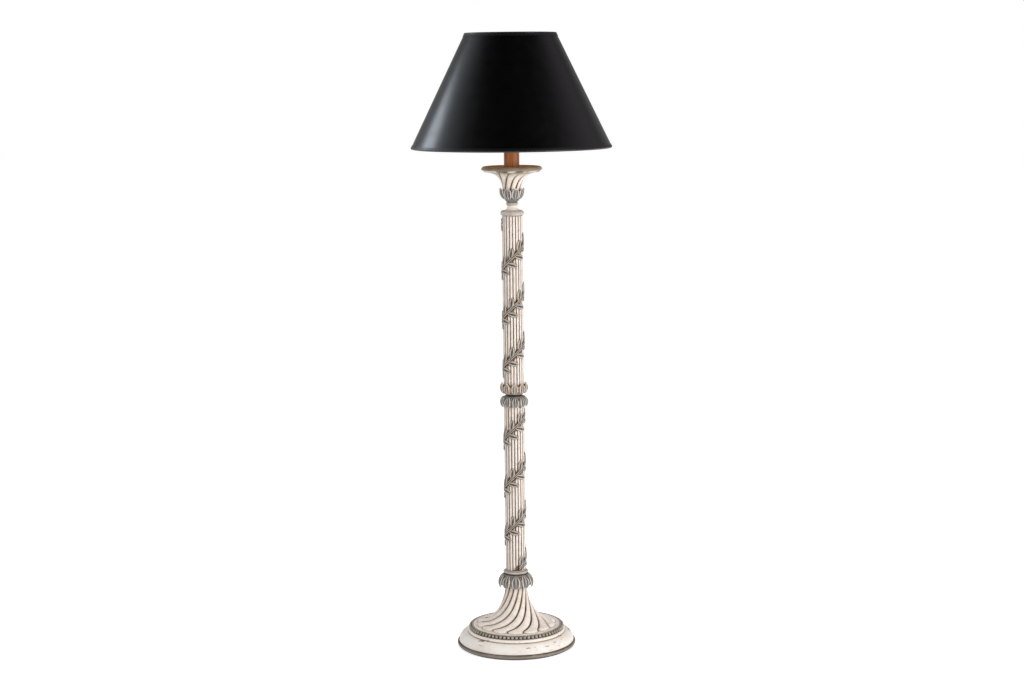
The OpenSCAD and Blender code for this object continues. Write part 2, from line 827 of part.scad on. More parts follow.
// ---------------------------------------------------------------- bulb

module bulb_base() {
    r = 13;
    h = 24;
    pitch = 3.6;
    color([0.75, 0.75, 0.76]) translate([0, 0, z_bulb]) rotate_extrude() difference() {
        polygon([[0, 1], [6, 1], [12.4, 5], [r, 6], [r, h], [13.3, h], [13.3, h + 4], [0, h + 4]]);
        polygon([[-1, 6], [11.4, 6], [11.4, h], [12.4, h], [12.4, h + 5], [-1, h + 5]]);
        for (i = [0:4]) translate([r + 0.5, 7.6 + i * pitch]) circle(1.1, $fn = 24);
    }
}

module bulb_contact() {
    color([0.7, 0.7, 0.7]) translate([0, 0, z_bulb]) cylinder(r1 = 3, r2 = 4, h = 1);
}

module bulb_profile(inset) {
    r = bulb_d / 2 - inset;
    translate([0, z_glass]) circle(r);
    polygon([[0, z_bulb + 24], [12.4 - inset, z_bulb + 24], [12.4 - inset, z_mouth + 1],
             [14.5 - inset, z_mouth + 10], [r * 0.78, z_glass - r * 0.6], [0, z_glass]]);
}

module bulb_glass() {
    color([0.95, 0.95, 0.92, 0.6]) rotate_extrude() intersection() {
        difference() {
            bulb_profile(0);
            bulb_profile(0.9);
        }
        translate([0, z_bulb]) square([bulb_d, 200]);
    }
}

// ---------------------------------------------------------------- shade

// Band that follows the shade's slope from height a to b, between two depths under its surface.
module sloped_band(from, to, outer, inner) {
    a = min(from, to);
    b = max(from, to);
    polygon([[shade_r(a) - outer, a], [shade_r(b) - outer, b], [shade_r(b) - inner, b],
             [shade_r(a) - inner, a]]);
}

module shade_cone() {
    edge = trim_edge_r;
    color([0.05, 0.05, 0.05]) rotate_extrude()
        sloped_band(z_shade + edge, z_shade_top - edge, trim_t, trim_t + wall_t);
}

module shade_liner() {
    edge = trim_edge_r;
    under = trim_t + wall_t;
    color([0.72, 0.58, 0.34]) rotate_extrude()
        sloped_band(z_shade + edge, z_shade_top - edge, under, under + liner_t);
}

// Wire ring at height z, against the inside of the wall.
module shade_ring(z) {
    under = trim_t + wall_t + liner_t;
    color(steel) rotate_extrude() translate([shade_r(z) - under - 1.12 * wire_r, z]) circle(wire_r);
}

module shade_bottom_ring() {
    shade_ring(z_shade + trim_edge_r);
}

module shade_top_ring() {
    shade_ring(z_shade_top - trim_edge_r);
}

// Rolled strip over an edge: a round fold at height z and a leaf each side up to z + rise.
module rolled_trim(z, rise) {
    c = [shade_r(z) - trim_edge_r, z];
    cavity = 2 * trim_edge_r - 2 * trim_t;
    lap = 0.1;
    color([0.06, 0.06, 0.06]) rotate_extrude() {
        difference() {
            translate(c) circle(trim_edge_r);
            translate(c) circle(cavity / 2);
            translate([c[0] - 6, rise > 0 ? z + lap : z - 6 - lap]) square([12, 6]);
        }
        sloped_band(z, z + rise, 0, trim_t);
        sloped_band(z, z + 0.7 * rise, trim_t + cavity, 2 * trim_edge_r);
    }
}

module shade_bottom_trim() {
    rolled_trim(z_shade + trim_edge_r, trim_h - trim_edge_r);
}

module shade_top_trim() {
    rolled_trim(z_shade_top - trim_edge_r, trim_edge_r - trim_h);
}

// Three arms from a washer on the harp's stud out to the top ring.
module spider() {
    arms = 3;
    arm_r = 1.7;
    hub_r = 11;
    hub_t = 1.8;
    arm_start = seat_r + 0.6;
    z_ring_top = z_shade_top - trim_edge_r;
    ring_r = shade_r(z_ring_top) - trim_t - wall_t - liner_t - 1.12 * wire_r;
    bend_r = 30;
    rise = z_ring_top - z_hub - hub_t / 2;
    reach = ring_r - bend_r;
    color(steel) {
        difference() {
            translate([0, 0, z_hub]) cylinder(r = hub_r, h = hub_t);
            translate([0, 0, z_hub - 1]) cylinder(r = stud_r + 0.1, h = hub_t + 2);
        }
        for (i = [0:arms - 1]) rotate([0, 0, 90 + 120 * i]) {
            translate([arm_start, 0, z_hub + hub_t / 2]) rotate([0, 90, 0])
                cylinder(r = arm_r, h = bend_r - arm_start, $fn = 24);
            translate([bend_r, 0, z_hub + hub_t / 2]) sphere(arm_r * 1.02, $fn = 24);
            translate([bend_r, 0, z_hub + hub_t / 2]) rotate([0, atan2(reach, rise), 0])
                cylinder(r = arm_r, h = norm([reach, rise]), $fn = 24);
        }
    }
}

// Low turned finial that clamps the spider to the harp.
module finial() {
    z = z_hub + 2.1;
    color(brass) difference() {
        translate([0, 0, z]) union() {
            cylinder(r = 8, h = 3);
            translate([0, 0, 3]) cylinder(r1 = 5, r2 = 4.4, h = 5);
            translate([0, 0, 13.5]) sphere(7.5);
        }
        translate([0, 0, z - 1]) cylinder(r = stud_r + 0.05, h = 15);
    }
}

felt_pad();
bottom_plate();
base_plinth();
base_moulding();
base_weight();
base_washer();
base_nut();
cord_grommet();
bead_band();
trumpet_flange();
base_trumpet();
lower_leaf_collar();
lower_collar_ring();
lower_column();
lower_vine();
mid_leaves_lower();
mid_waist();
mid_leaves_upper();
upper_column();
upper_vine();
column_top_ring();
neck_spool();
cup_ring();
leaf_cup();
spiral_flare();
drip_pan();
pan_nut();
candle_sleeve();
sleeve_cap();
lamp_pipe_lower();
pipe_coupling();
lamp_pipe_upper();
harp_saddle();
harp();
ferrule_left();
ferrule_right();
socket_cap();
socket_shell();
socket_liner();
socket_body();
socket_screw_shell();
socket_contact();
switch_stem();
switch_knob();
bulb_base();
bulb_contact();
bulb_glass();
shade_cone();
shade_liner();
shade_bottom_ring();
shade_top_ring();
shade_bottom_trim();
shade_top_trim();
spider();
finial();
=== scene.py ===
"""Looks of a candlestick floor lamp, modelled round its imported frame.

Metres, +Z up, the lamp's front towards -Y. The frame's nodes give every place and height, so a
piece that is modelled here sits on the node that carries it.
"""

import logging
import math
from collections.abc import Callable, Iterable, Sequence
from dataclasses import dataclass, replace
from enum import Enum
from typing import Protocol

import bpy
from mathutils import Matrix, Vector


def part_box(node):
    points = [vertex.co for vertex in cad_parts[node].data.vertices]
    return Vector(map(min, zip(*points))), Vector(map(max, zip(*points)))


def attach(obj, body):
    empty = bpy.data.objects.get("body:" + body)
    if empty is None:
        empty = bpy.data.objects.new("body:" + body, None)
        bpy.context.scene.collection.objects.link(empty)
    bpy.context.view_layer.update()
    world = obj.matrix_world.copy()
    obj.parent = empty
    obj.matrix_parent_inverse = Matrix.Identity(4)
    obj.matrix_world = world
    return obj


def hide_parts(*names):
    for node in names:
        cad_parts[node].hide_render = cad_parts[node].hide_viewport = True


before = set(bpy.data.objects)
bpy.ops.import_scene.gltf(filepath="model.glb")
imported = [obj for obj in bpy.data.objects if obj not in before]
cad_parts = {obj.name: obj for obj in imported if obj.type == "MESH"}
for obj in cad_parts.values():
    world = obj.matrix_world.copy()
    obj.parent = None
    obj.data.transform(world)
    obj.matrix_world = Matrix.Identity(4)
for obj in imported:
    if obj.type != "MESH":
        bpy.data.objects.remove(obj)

log = logging.getLogger("lamp")
Colour = tuple[float, float, float]
Socket = bpy.types.NodeSocket
Value = Socket | float | Sequence[float]
Section = tuple[tuple[float, float], ...]
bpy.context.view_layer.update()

# Points of one place differ by less than this, in metres.
SAME = 0.00002
# Edges of a carved piece sharper than this, in degrees, stay sharp.
CARVED_ANGLE = 60.0


# ---------------------------------------------------------------- tools of the bench


def paint(red: int, green: int, blue: int) -> Colour:
    """Turns a colour of a paint chart, 0 to 255 a channel, into scene light.

    Args:
        red: Red channel.
        green: Green channel.
        blue: Blue channel.

    Returns:
        The linear colour.
    """
    def linear(channel: int) -> float:
        """Undoes the screen's curve for one channel."""
        share = channel / 255
        return share / 12.92 if share <= 0.04045 else ((share + 0.055) / 1.055) ** 2.4

    return linear(red), linear(green), linear(blue)


def low(node: str) -> Vector:
    """Lowest corner of a frame node."""
    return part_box(node)[0]


def high(node: str) -> Vector:
    """Highest corner of a frame node."""
    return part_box(node)[1]


def blend(start: float, end: float, share: float) -> float:
    """Number between start and end."""
    return start + (end - start) * share


def cubic(controls: Sequence[tuple[float, float]], t: float) -> tuple[float, float]:
    """Point of a cubic curve.

    Args:
        controls: Four control points.
        t: Place along the curve, 0 to 1.

    Returns:
        The point.
    """
    weights = ((1 - t) ** 3, 3 * t * (1 - t) ** 2, 3 * t * t * (1 - t), t ** 3)
    return (sum(w * c[0] for w, c in zip(weights, controls)),
            sum(w * c[1] for w, c in zip(weights, controls)))


def set_down() -> None:
    """Leaves edit mode and deselects everything."""
    if bpy.context.mode != "OBJECT":
        bpy.ops.object.mode_set(mode="OBJECT")
    bpy.ops.object.select_all(action="DESELECT")


def pick_up(*pieces: bpy.types.Object) -> bpy.types.Object:
    """Selects these pieces alone and makes the first one active.

    Args:
        pieces: The pieces to work on.

    Returns:
        The active piece.
    """
    set_down()
    for piece in pieces:
        piece.select_set(True)
    bpy.context.view_layer.objects.active = pieces[0]
    return pieces[0]


def edit(piece: bpy.types.Object, chosen: Callable[[Vector], bool] | None = None) -> None:
    """Opens a piece in edit mode with some of its points selected.

    Args:
        piece: The piece to shape.
        chosen: Tells by its place whether a point is selected; all of them without it.
    """
    pick_up(piece)
    if chosen is not None:
        for point in piece.data.vertices:
            point.select = chosen(point.co)
        for edge in piece.data.edges:
            edge.select = all(piece.data.vertices[i].select for i in edge.vertices)
        for face in piece.data.polygons:
            face.select = all(piece.data.vertices[i].select for i in face.vertices)
    bpy.ops.object.mode_set(mode="EDIT")
    bpy.ops.mesh.select_mode(type="VERT")
    if chosen is None:
        bpy.ops.mesh.select_all(action="SELECT")


def finish_with(piece: bpy.types.Object, kind: str, **settings: object) -> None:
    """Adds a modifier, sets it and applies it.

    Args:
        piece: The piece that it works on.
        kind: Blender's name for the modifier's type.
        settings: The modifier's settings.
    """
    pick_up(piece)
    modifier = piece.modifiers.new(kind, kind)
    for key, value in settings.items():
        setattr(modifier, key, value)
    bpy.ops.object.modifier_apply(modifier=modifier.name)


def set_place(piece: bpy.types.Object) -> None:
    """Moves a piece's place, turn and scale into its mesh."""
    pick_up(piece)
    bpy.ops.object.transform_apply(location=True, rotation=True, scale=True)


def weigh(piece: bpy.types.Object, group: str, weight: Callable[[Vector], float]) -> None:
    """Gives each point of a piece a weight in a vertex group.

    Args:
        piece: The piece.
        group: Name of the group.
        weight: The weight by a point's place, 0 to 1.
    """
    made = piece.vertex_groups.new(name=group)
    for point in piece.data.vertices:
        made.add([point.index], min(max(weight(point.co), 0.0), 1.0), "REPLACE")


def record_tone(piece: bpy.types.Object, name: str, tone: Callable[[Vector], float]) -> None:
    """Stores a number on each point for the finish to read.

    Args:
        piece: The piece.
        name: Name of the attribute.
        tone: The number by a point's place.
    """
    made = piece.data.attributes.new(name, "FLOAT", "POINT")
    made.data.foreach_set("value", [tone(point.co) for point in piece.data.vertices])


def copies(master: bpy.types.Object, places: Iterable[Matrix]) -> list[bpy.types.Object]:
    """Copies a master, each copy with its own mesh, and puts the master away.

    Args:
        master: The piece that repeats.
        places: Where each copy goes.

    Returns:
        The copies.
    """
    made = []
    for place in places:
        pick_up(master)
        bpy.ops.object.duplicate(linked=False)
        copy = bpy.context.object
        copy.matrix_world = place
        set_place(copy)
        made.append(copy)
    bpy.data.objects.remove(master)
    return made


def weld(name: str, parts: Sequence[bpy.types.Object], angle: float = 50.0) -> bpy.types.Object:
    """Joins parts into one piece with smooth faces.

    Args:
        name: Name of the piece.
        parts: The parts.
        angle: Edges sharper than this, in degrees, stay sharp.

    Returns:
        The piece.
    """
    piece = pick_up(*parts)
    if len(parts) > 1:
        bpy.ops.object.join()
    piece.name = name
    piece.data.name = name
    edit(piece)
    bpy.ops.mesh.normals_make_consistent(inside=False)
    set_down()
    pick_up(piece)
    bpy.ops.object.shade_smooth_by_angle(angle=math.radians(angle))
    return piece


def grow(start: tuple[float, float], end: tuple[float, float]) -> None:
    """Extrudes the selected edges to a new radius and height round the lamp's axis.

    Args:
        start: Radius and height that they have.
        end: Radius and height that the new edges get.
    """
    scale = end[0] / start[0]
    bpy.ops.mesh.extrude_edges_move(
        TRANSFORM_OT_translate={"value": (0, 0, end[1] - start[1])})
    bpy.ops.transform.resize(value=(scale, scale, 1), center_override=(0, 0, end[1]))


def close_rim(piece: bpy.types.Object, chosen: Callable[[Vector], bool]) -> None:
    """Fills the open rim that some of a piece's points make with one face.

    Args:
        piece: The piece.
        chosen: Tells by its place whether a point is on the rim.
    """
    edit(piece, chosen)
    bpy.ops.mesh.select_mode(type="EDGE")
    bpy.ops.mesh.edge_face_add()
    set_down()


def turn_about_z(degrees: float, height: float = 0.0) -> Matrix:
    """Place that turns a part round the lamp's axis and lifts it."""
    return Matrix.Translation((0, 0, height)) @ Matrix.Rotation(math.radians(degrees), 4, "Z")


# ---------------------------------------------------------------- finishes


class Wiring:
    """Node tree with short ways to add to it."""

    def __init__(self, tree: bpy.types.NodeTree) -> None:
        """Takes up a tree.

        Args:
            tree: The tree of a material or a world.
        """
        self.tree = tree

    def node(self, kind: str, feeds: dict[int | str, Value] | None = None,
             **settings: object) -> bpy.types.Node:
        """Adds a node.

        Args:
            kind: Blender's name for the node's type.
            feeds: What goes into its inputs, links or plain values.
            settings: The node's settings.

        Returns:
            The node.
        """
        made = self.tree.nodes.new(kind)
        for key, value in settings.items():
            setattr(made, key, value)
        for key, value in (feeds or {}).items():
            self.feed(made.inputs[key], value)
        return made

    def feed(self, socket: Socket, value: Value) -> None:
        """Links a socket, or sets it where the value is plain.

        Args:
            socket: The input.
            value: A link or a plain value.
        """
        if isinstance(value, bpy.types.NodeSocket):
            self.tree.links.new(value, socket)
        elif socket.type == "RGBA" and len(value) == 3:
            socket.default_value = (*value, 1.0)
        else:
            socket.default_value = value

    def number(self, operation: str, first: Value, second: Value = 0.0) -> Socket:
        """Arithmetic on two numbers."""
        return self.node("ShaderNodeMath", {0: first, 1: second}, operation=operation).outputs[0]

    def clamp(self, operation: str, first: Value, second: Value = 0.0) -> Socket:
        """Arithmetic on two numbers, kept between 0 and 1."""
        return self.node("ShaderNodeMath", {0: first, 1: second}, operation=operation,
                         use_clamp=True).outputs[0]

    def mix(self, share: Value, first: Value, second: Value) -> Socket:
        """Mixes two colours.

        Args:
            share: How much of the second one.
            first: A colour.
            second: Another colour.

        Returns:
            The mixed colour.
        """
        made = self.node("ShaderNodeMix", data_type="RGBA")
        for index, value in ((0, share), (6, first), (7, second)):
            self.feed(made.inputs[index], value)
        return made.outputs[2]


class Graph(Wiring):
    """Node graph of one finish, with a Principled shader at its end."""

    def __init__(self, name: str, roughness: float, metallic: float = 0.0,
                 specular: float = 0.5) -> None:
        """Starts the material.

        Args:
            name: Name of the material.
            roughness: Roughness where nothing else is fed to it.
            metallic: 1 for bare metal.
            specular: Strength of the gloss of what isn't metal.
        """
        self.material = bpy.data.materials.new(name)
        self.material.use_nodes = True
        super().__init__(self.material.node_tree)
        self.shader = self.tree.nodes["Principled BSDF"]
        self.shader.inputs["Roughness"].default_value = roughness
        self.shader.inputs["Metallic"].default_value = metallic
        self.shader.inputs["Specular IOR Level"].default_value = specular
        self.place = self.node("ShaderNodeTexCoord").outputs["Object"]

    def axis(self, name: str) -> Socket:
        """One object coordinate: X, Y or Z."""
        return self.node("ShaderNodeSeparateXYZ", {0: self.place}).outputs[name]

    def radius(self) -> Socket:
        """Distance from the lamp's axis."""
        flat = self.node("ShaderNodeMapping", {"Vector": self.place, "Scale": (1, 1, 0)})
        return self.node("ShaderNodeVectorMath", {0: flat.outputs[0]},
                         operation="LENGTH").outputs["Value"]

    def angle(self) -> Socket:
        """Turn round the lamp's axis, in radians."""
        return self.number("ARCTAN2", self.axis("Y"), self.axis("X"))

    def wound(self, radius: float) -> Socket:
        """Coordinates that run round the lamp's axis and up it."""
        round_it = self.number("MULTIPLY", self.angle(), radius)
        return self.node("ShaderNodeCombineXYZ", {0: round_it, 2: self.axis("Z")}).outputs[0]

    def noise(self, scale: float, detail: float = 4.0, rough: float = 0.55,
              stretch: tuple[float, float, float] = (1, 1, 1), warp: float = 0.0,
              place: Socket | None = None) -> Socket:
        """Cloudy pattern.

        Args:
            scale: Blobs in a metre.
            detail: Levels of finer blobs.
            rough: Strength of the finer levels.
            stretch: Scale along each axis.
            warp: Distortion.
            place: Coordinates, the object's own without it.

        Returns:
            The pattern, 0 to 1.
        """
        at = self.node("ShaderNodeMapping", {"Vector": place or self.place, "Scale": stretch})
        return self.node("ShaderNodeTexNoise", {
            "Vector": at.outputs[0], "Scale": scale, "Detail": detail,
            "Roughness": rough, "Distortion": warp}).outputs["Fac"]

    def ramp(self, value: Value, *stops: tuple[float, float]) -> Socket:
        """Curve of grey levels.

        Args:
            value: What the curve reads.
            stops: Places and levels, in rising order.

        Returns:
            The level.
        """
        made = self.node("ShaderNodeValToRGB", {0: value})
        points = made.color_ramp.elements
        for spot, level in stops[2:]:
            points.new(spot)
        for point, (spot, level) in zip(points, stops):
            point.position = spot
            point.color = (level, level, level, 1)
        return made.outputs["Color"]

    def shaken(self, value: Socket, cloud: Socket, amount: float) -> Socket:
        """Number with a cloudy error, so that what follows it wanders.

        Args:
            value: The number.
            cloud: The cloudy pattern.
            amount: Width of the error.

        Returns:
            The number with its error.
        """
        error = self.number("MULTIPLY", self.number("SUBTRACT", cloud, 0.5), amount)
        return self.number("ADD", value, error)

    def span(self, value: Value, start: float, end: float) -> Socket:
        """0 where a value is at the start of a span, 1 at its end and past it."""
        return self.node("ShaderNodeMapRange", {0: value, 1: start, 2: end}).outputs[0]

    def crevice(self, reach: float, *stops: tuple[float, float]) -> Socket:
        """How deep a point lies between its neighbours.

        Args:
            reach: How far it looks, in metres.
            stops: Curve from openness, 0 to 1, to the answer.

        Returns:
            The answer.
        """
        shut = self.node("ShaderNodeAmbientOcclusion", {"Distance": reach}, samples=8)
        return self.ramp(shut.outputs["AO"], *stops)

    def tone(self, name: str) -> Socket:
        """Number that a piece stores on its points."""
        return self.node("ShaderNodeAttribute", attribute_name=name).outputs["Fac"]

    def bump(self, height: Value, depth: float, strength: float = 1.0,
             under: Socket | None = None) -> Socket:
        """Adds a raised pattern.

        Args:
            height: The pattern.
            depth: Its depth in metres.
            strength: How much of it shows.
            under: A coarser bump below it.

        Returns:
            The bumped normal.
        """
        made = self.node("ShaderNodeBump", {"Height": height, "Distance": depth,
                                            "Strength": strength})
        if under is not None:
            self.feed(made.inputs["Normal"], under)
        return made.outputs["Normal"]

    def done(self, colour: Value, normal: Socket | None = None,
             roughness: Socket | None = None) -> bpy.types.Material:
        """Feeds the shader.

        Args:
            colour: Base colour.
            normal: Bumped normal.
            roughness: Roughness that changes over the surface.

        Returns:
            The material.
        """
        self.feed(self.shader.inputs["Base Color"], colour)
        if normal is not None:
            self.feed(self.shader.inputs["Normal"], normal)
        if roughness is not None:
            self.feed(self.shader.inputs["Roughness"], roughness)
        return self.material


class Finish(Protocol):
    """Any finish: it has a name and makes its material."""

    name: str

    def build(self) -> bpy.types.Material:
        """Makes the material."""


@dataclass(frozen=True)
class AgedPaint:
    """Hand-rubbed paint, umber glaze and painted shade in its hollows, and small worn places."""

    name: str
    light: Colour
    shade: Colour
    # Colours of the hollows: an umber glaze that also stands for painted shade, and a darker core.
    wash_and_shade: Colour
    deep: Colour
    wash_and_shade_reach: float = 0.006
    wash_and_shade_amount: float = 0.85
    wash_and_shade_span: tuple[float, float] = (0.45, 0.88)
    rubs: float = 0.0
    rub_colour: Colour = (0.2, 0.16, 0.12)
    rub_size: tuple[float, float] = (30.0, 30.0)
    rub_radius: float = 0.14

    def coat(self, g: Graph) -> Socket:
        """Colour of the paint itself.

        Args:
            g: The graph.

        Returns:
            The colour.
        """
        cloud = g.ramp(g.noise(26, 5, 0.6), (0.38, 0.0), (0.7, 0.75))
        colour = g.mix(cloud, self.light, self.shade)
        faint = g.ramp(g.noise(110, 5, 0.65), (0.5, 0.0), (0.78, 0.35))
        return g.mix(faint, colour, self.wash_and_shade)

    def hollows(self, g: Graph) -> tuple[Socket, Socket]:
        """Where the umber glaze and the painted shade lie.

        Args:
            g: The graph.

        Returns:
            Strength of the glaze with painted shade, and of their dark core.
        """
        full, none = self.wash_and_shade_span
        near = g.crevice(self.wash_and_shade_reach, (full, self.wash_and_shade_amount), (none, 0.0))
        core = g.crevice(self.wash_and_shade_reach * 0.45, (full - 0.1, self.wash_and_shade_amount),
                         (none - 0.18, 0.0))
        return near, core

    def build(self) -> bpy.types.Material:
        """Makes the material.

        Returns:
            The material.
        """
        g = Graph(self.name, 0.5, specular=0.3)
        colour = self.coat(g)
        if self.rubs > 0:
            along, height = self.rub_size
            marks = g.noise(1.0, 3, 0.5, (along, 1, height), 0.2, g.wound(self.rub_radius))
            scarce = g.ramp(g.noise(9, 2), (0.46, 0.0), (0.56, 1.0))
            bare = 0.74 - 0.12 * self.rubs
            mask = g.ramp(marks, (bare, 0.0), (bare + 0.04, 1.0))
            colour = g.mix(g.clamp("MULTIPLY", mask, scarce), colour, self.rub_colour)
        # Darkening in the hollows by ambient occlusion: glaze with painted shade, and a painted
        # dark core.
        near, core = self.hollows(g)
        uneven = g.ramp(g.noise(90, 4), (0.3, 0.6), (0.7, 1.0))
        colour = g.mix(g.clamp("MULTIPLY", near, uneven), colour, self.wash_and_shade)
        colour = g.mix(core, colour, self.deep)
        normal = g.bump(g.noise(900, 3, 0.6), 0.00016, 0.3,
                        g.bump(g.noise(220, 3, 0.5, (1, 1, 0.5)), 0.0005, 0.35))
        return g.done(colour, normal, g.ramp(g.noise(50, 3), (0.3, 0.42), (0.7, 0.62)))


@dataclass(frozen=True)
class GroovedPaint(AgedPaint):
    """Aged paint on a lobed turning, glaze and painted shade run along the grooves that it stores.
    """

    def hollows(self, g: Graph) -> tuple[Socket, Socket]:
        """Adds the grooves to the hollows.

        Args:
            g: The graph.

        Returns:
            Strength of the glaze with painted shade, and of their dark core.
        """
        near, core = super().hollows(g)
        gap = g.shaken(g.tone("groove"), g.noise(85, 4), 0.09)
        along = g.ramp(g.noise(30, 3), (0.34, 0.55), (0.6, 1.0))
        # Along each groove, a band of glaze with painted shade and a dark painted line of shade.
        wide = g.clamp("MULTIPLY", g.ramp(gap, (0.10, 1.0), (0.56, 0.0)), along)
        line = g.clamp("MULTIPLY", g.ramp(gap, (0.09, 1.0), (0.25, 0.0)), along)
        return g.clamp("MAXIMUM", near, wide), g.clamp("MAXIMUM", core, line)


@dataclass(frozen=True)
class BrimShadowPaint(GroovedPaint):
    """Grooved paint that darkens to a brown painted shadow under an edge above it."""

    # Height of the overhanging edge; reach and strength of the painted shadow below it, and of its
    # darker core.
    brim: float = 0.0
    depth: float = 0.014
    amount: float = 0.8
    core_depth: float = 0.005
    core_amount: float = 0.6

    def hollows(self, g: Graph) -> tuple[Socket, Socket]:
        """Adds the painted shadow under the edge.

        Args:
            g: The graph.

        Returns:
            Strength of the glaze with painted shade and painted shadow, and of their dark core.
        """
        near, core = super().hollows(g)
        height = g.shaken(g.axis("Z"), g.noise(60, 4), 0.012)
        # Painted shadow below the edge, darker just under it.
        under = g.clamp("MULTIPLY", g.span(height, self.brim - self.depth, self.brim - 0.002),
                        self.amount)
        edge = g.clamp("MULTIPLY", g.span(height, self.brim - self.core_depth, self.brim),
                       self.core_amount)
        return g.clamp("MAXIMUM", near, under), g.clamp("MAXIMUM", core, edge)


@dataclass(frozen=True)
class Helix:
    """Way of a vine's stem up its column, from a foot at a turn in degrees, with a sway."""

    start: float
    foot: float
    turns: float
    pitch: float = 0.126
    sway: float = 0.0055


@dataclass(frozen=True)
class ReededPaint(AgedPaint):
    """Aged paint on a shaft of reeds, glaze and painted shade between them and round the vine."""

    count: int = 20
    way: Helix = Helix(0.0, 0.0, 0.0)
    # Turns, reach, dark core, end and strength of the staining and painted shade beside the vine.
    stain_and_shade_turns: float = 3.2
    stain_and_shade: tuple[float, float] = (0.0165, 0.0105)
    stain_and_shade_core: tuple[float, float] = (0.0115, 0.0065)
    stain_and_shade_end: tuple[float, float] = (0.010, -0.004)
    stain_and_shade_amount: float = 0.95

    def from_vine(self, g: Graph) -> Socket:
        """Height above or below the nearest turn of the vine.

        Args:
            g: The graph.

        Returns:
            The distance in metres.
        """
        turns = g.number("SUBTRACT", g.number("DIVIDE", g.angle(), math.tau),
                         self.way.start / 360)
        stem = g.number("ADD", g.number("MULTIPLY", turns, self.way.pitch),
                        g.number("MULTIPLY", g.number("COSINE", g.angle()), self.way.sway))
        off = g.number("SUBTRACT", g.number("SUBTRACT", g.axis("Z"), self.way.foot), stem)
        return g.number("PINGPONG", off, self.way.pitch / 2)

    def hollows(self, g: Graph) -> tuple[Socket, Socket]:
        """Adds the grooves, and the staining and painted shade round the vine, to the hollows.

        Args:
            g: The graph.

        Returns:
            Strength of the glaze with painted shade, and of their dark core.
        """
        near, core = super().hollows(g)
        turns = g.number("MULTIPLY", g.angle(), self.count / math.tau)
        off = g.number("MULTIPLY", g.number("PINGPONG", turns, 0.5), 2.0)
        off = g.shaken(off, g.noise(60, 4, 0.6, (3, 3, 0.35)), 0.3)
        # Glaze and painted shade between the reeds, as a wide band and a dark line.
        strong = g.ramp(g.noise(16, 3, 0.5, (3.2, 3.2, 0.25)), (0.36, 0.45), (0.6, 1.0))
        wide = g.clamp("MULTIPLY", g.ramp(off, (0.2, 0.9), (0.55, 0.0)), strong)
        line = g.clamp("MULTIPLY", g.ramp(off, (0.16, 1.0), (0.32, 0.0)), strong)
        # Staining and painted shade on the column beside the raised vine.
        away = g.shaken(self.from_vine(g), g.noise(70, 4, 0.6), 0.018)
        last = self.way.foot + self.stain_and_shade_turns * self.way.pitch
        none, full = (last + past for past in self.stain_and_shade_end)
        reach = g.number("MULTIPLY", g.span(g.axis("Z"), none, full), self.stain_and_shade_amount)
        pooled_stain_and_shade = g.clamp("MULTIPLY", g.span(away, *self.stain_and_shade), reach)
        core = g.clamp("MAXIMUM", core,
                       g.clamp("MULTIPLY", g.span(away, *self.stain_and_shade_core), reach))
        return (g.clamp("MAXIMUM", g.clamp("MAXIMUM", near, wide), pooled_stain_and_shade),
                g.clamp("MAXIMUM", core, line))


@dataclass(frozen=True)
class LitShadedBandPaint(AgedPaint):
    """Aged paint in two tones, the lower one darker as painted shade, with a painted highlight
    between.

    It is dark again under its upper edge, where shade is painted.
    """

    parting: float = 0.008
    below: Colour = (0.1, 0.09, 0.08)
    line: Colour = (0.4, 0.38, 0.35)
    line_width: tuple[float, float] = (0.0011, 0.0003)
    line_amount: float = 0.7
    brim: float = 0.014
    brim_depth: tuple[float, float] = (0.0030, 0.0014)

    def coat(self, g: Graph) -> Socket:
        """Adds the painted shade below, the painted highlight line and the painted shade under the
        edge.

        Args:
            g: The graph.

        Returns:
            The colour.
        """
        upper = super().coat(g)
        height = g.shaken(g.axis("Z"), g.noise(40, 3), 0.002)
        # Painted shade on the side below the parting.
        colour = g.mix(g.span(height, self.parting, self.parting - 0.0012), upper, self.below)
        off = g.number("ABSOLUTE", g.number("SUBTRACT", height, self.parting))
        # Painted highlight along the parting.
        colour = g.mix(g.clamp("MULTIPLY", g.span(off, *self.line_width), self.line_amount),
                       colour, self.line)
        # Painted shade just under the upper edge.
        none, full = (self.brim - depth for depth in self.brim_depth)
        brim = g.clamp("MULTIPLY", g.span(height, none, full),
                       g.ramp(g.noise(14, 3), (0.35, 0.35), (0.6, 0.9)))
        return g.mix(brim, colour, self.deep)


